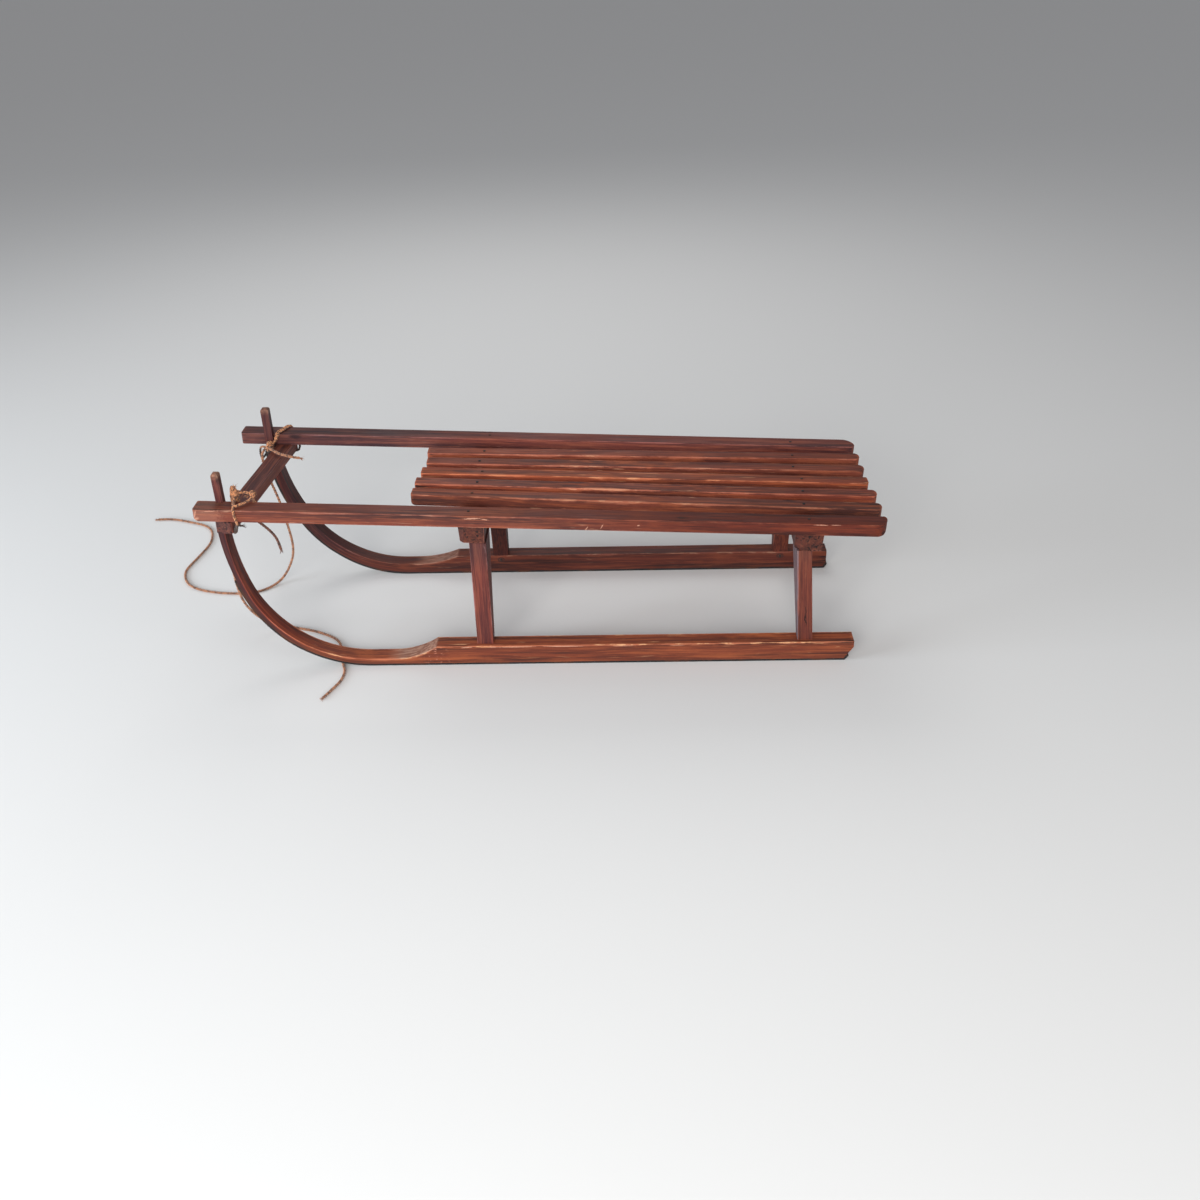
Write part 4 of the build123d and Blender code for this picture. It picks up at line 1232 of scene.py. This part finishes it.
class SLED_OT_wood(bpy.types.Operator):
    """Give the deck, the bolsters, the crossbar and the posts their stained and worn wood."""
    bl_idname = "sled.wood"
    bl_label = "Stained wood"

    def execute(self, context):
        for add_wood in (self.rails, self.slats, self.bolsters, self.crossbar):
            add_wood(frame["nodes"])
        for seed, name in enumerate(POSTS, 21):
            assign(frame["nodes"][name], post_wood(name, seed))
        return {"FINISHED"}

    @staticmethod
    def rails(nodes):
        for seed, (side, (sign, front, rear)) in enumerate(RAILS.items(), 1):
            wear, tint, rear_tint, tint_run, marks = RAIL_LOOKS[side]
            place = deck_place((front + rear) / 2, sign * RAIL_MIDDLE_Y, RAIL_THICKNESS / 2)
            size = (rear - front, RAIL_WIDTH, RAIL_THICKNESS)
            name = f"rail_{side}"
            wood = bar_wood(name + "_wood", place, size, seed, wear, tint, rear_tint, tint_run,
                            bare_share=RAIL_BARE_SHARE, marks=marks)
            assign(nodes[name], wood)

    @staticmethod
    def slats(nodes):
        drop = RAIL_THICKNESS - SLAT_THICKNESS / 2
        for index, (front, rear) in enumerate(SLATS):
            middle = (front + rear) / 2
            y, spread = slat_line(index, middle)
            place = deck_place(middle, y, drop, math.atan(spread))
            size = (rear - front, SLAT_WIDTH, SLAT_THICKNESS)
            tint = SLAT_TINTS[index]
            rear_tint = tuple(part * SLAT_REAR_SHARE for part in tint)
            name = f"slat_{index + 1}"
            wood = bar_wood(name + "_wood", place, size, index * 1.7 + 3, SLAT_WEAR, tint, rear_tint,
                            seat_wear=1.0)
            assign(nodes[name], wood)

    @staticmethod
    def bolsters(nodes):
        width, thickness = BOLSTER_SIZE[1:]
        for seed, (name, front) in enumerate(BOLSTER_PLACES.items(), 12):
            place = deck_place(front + width / 2, 0.0, RAIL_THICKNESS + thickness / 2, math.pi / 2)
            wood = bar_wood(name + "_wood", place, BOLSTER_SIZE, seed, BOLSTER_WEAR, BOLSTER_TINT,
                            end_wear=0.15)
            assign(nodes[name], wood)

    @staticmethod
    def crossbar(nodes):
        width, thickness = CROSSBAR_SIZE[1:]
        place = deck_place(CROSSBAR_PLACE, 0.0, RAIL_THICKNESS, -CROSSBAR_TURN)
        place = place @ Matrix.Translation((width / 2, 0.0, -thickness / 2))
        place = place @ Matrix.Rotation(math.pi / 2, 4, "Z")
        wood = bar_wood("crossbar_wood", place, CROSSBAR_SIZE, 17, CROSSBAR_WEAR, CROSSBAR_TINT,
                        end_tint=CROSSBAR_END_TINT, end_wear=0.0)
        assign(nodes["crossbar"], wood)


class SLED_OT_runners(bpy.types.Operator):
    """Give the bent runners their wood and the soles their blackened iron."""
    bl_idname = "sled.runners"
    bl_label = "Runners and soles"

    def execute(self, context):
        iron = iron_material()
        for seed, side in enumerate(RUNNERS, 31):
            assign(frame["nodes"][f"runner_{side}"], runner_wood(side, seed))
            assign(frame["nodes"][f"sole_{side}"], iron)
        return {"FINISHED"}


def nail_head(name, radius, height):
    """A low domed head around the Z axis, its foot at z = 0."""
    bpy.ops.object.select_all(action="DESELECT")
    middle = (0.0, 0.0, height / 2)
    bpy.ops.mesh.primitive_cylinder_add(vertices=20, radius=radius, depth=height, location=middle)
    head = bpy.context.object
    head.name = name
    bpy.ops.object.transform_apply(location=True, rotation=True, scale=True)
    bpy.ops.object.mode_set(mode="EDIT")
    bpy.ops.mesh.select_mode(type="FACE")
    bpy.ops.mesh.select_all(action="DESELECT")
    bpy.ops.object.mode_set(mode="OBJECT")
    for face in head.data.polygons:
        face.select = face.normal.z > 0.9
    bpy.ops.object.mode_set(mode="EDIT")
    for inwards, upwards in NAIL_DOME:
        bpy.ops.mesh.inset(thickness=radius * inwards, depth=height * upwards)
    bpy.ops.object.mode_set(mode="OBJECT")
    bpy.ops.object.shade_smooth_by_angle(angle=math.radians(50))
    return head


def copies(head, name, places):
    """One piece made of a copy of the head at each place."""
    made = []
    for number, place in enumerate(places):
        twin = head.copy()
        twin.data = head.data.copy()
        twin.name = name if number == 0 else f"{name}_{number}"
        twin.data.transform(place)
        made.append(link(twin))
    select_only(*made)
    bpy.ops.object.join()
    return bpy.context.object


class SLED_OT_nails(bpy.types.Operator):
    """Set the iron nails over the bolsters and the pins of the posts' tenons."""
    bl_idname = "sled.nails"
    bl_label = "Nails and pins"

    def execute(self, context):
        head = nail_head("nail_head", settings().nail_diameter / 2, NAIL_HEIGHT)
        nails = copies(head, "deck_nails", self.nail_places())
        pins = copies(head, "tenon_pins", self.pin_places())
        bpy.data.objects.remove(head)
        for piece in (nails, pins):
            assign(piece, bpy.data.materials["blackened_iron"])
            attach(piece, "root")
        return {"FINISHED"}

    @staticmethod
    def nail_places():
        """Above each bolster, one nail in each rail and each slat, not quite in a row."""
        places = []
        for front in BOLSTER_PLACES.values():
            middle = front + BOLSTER_SIZE[1] / 2
            for sign, *ends in RAILS.values():
                places.append(deck_place(middle + sign * RAIL_NAIL_STEP, sign * RAIL_MIDDLE_Y, NAIL_SINK))
            for index in range(len(SLATS)):
                y, spread = slat_line(index, middle)
                place = middle + (index % 3 - 1) * SLAT_NAIL_STEP
                places.append(deck_place(place, y, SLAT_DROP + NAIL_SINK))
        return places

    @staticmethod
    def pin_places():
        """One pin on the runner's inner face for the tenon of each post."""
        y = RUNNER_MIDDLE_Y - RUNNER_WIDTH / 2 + NAIL_SINK
        places = []
        for sign, foot, length, head in POSTS.values():
            place = Matrix.Translation((DECK_FRONT.x + foot + length / 2, sign * y, PIN_HEIGHT))
            places.append(place @ Matrix.Rotation(sign * math.pi / 2, 4, "X"))
        return places


OPERATORS = (SLED_OT_stage, SLED_OT_cords, SLED_OT_lashings, SLED_OT_wood, SLED_OT_runners, SLED_OT_nails)


class SLED_PT_dressing(bpy.types.Panel):
    """Lists the steps of the sled's dressing."""
    bl_idname = "SLED_PT_dressing"
    bl_label = "Sled"
    bl_space_type = "VIEW_3D"
    bl_region_type = "UI"
    bl_category = "Sled"

    def draw(self, context):
        for operator in OPERATORS:
            self.layout.operator(operator.bl_idname)
        for name in SledSettings.__annotations__:
            self.layout.prop(context.scene.sled_dressing, name)


CLASSES = (SledSettings, *OPERATORS, SLED_PT_dressing)


def register():
    for item in CLASSES:
        bpy.utils.register_class(item)
    bpy.types.Scene.sled_dressing = PointerProperty(type=SledSettings)


def unregister():
    del bpy.types.Scene.sled_dressing
    for item in reversed(CLASSES):
        bpy.utils.unregister_class(item)


def main():
    register()
    for operator in OPERATORS:
        group, name = operator.bl_idname.split(".")
        getattr(getattr(bpy.ops, group), name)()


if __name__ == "__main__":
    main()
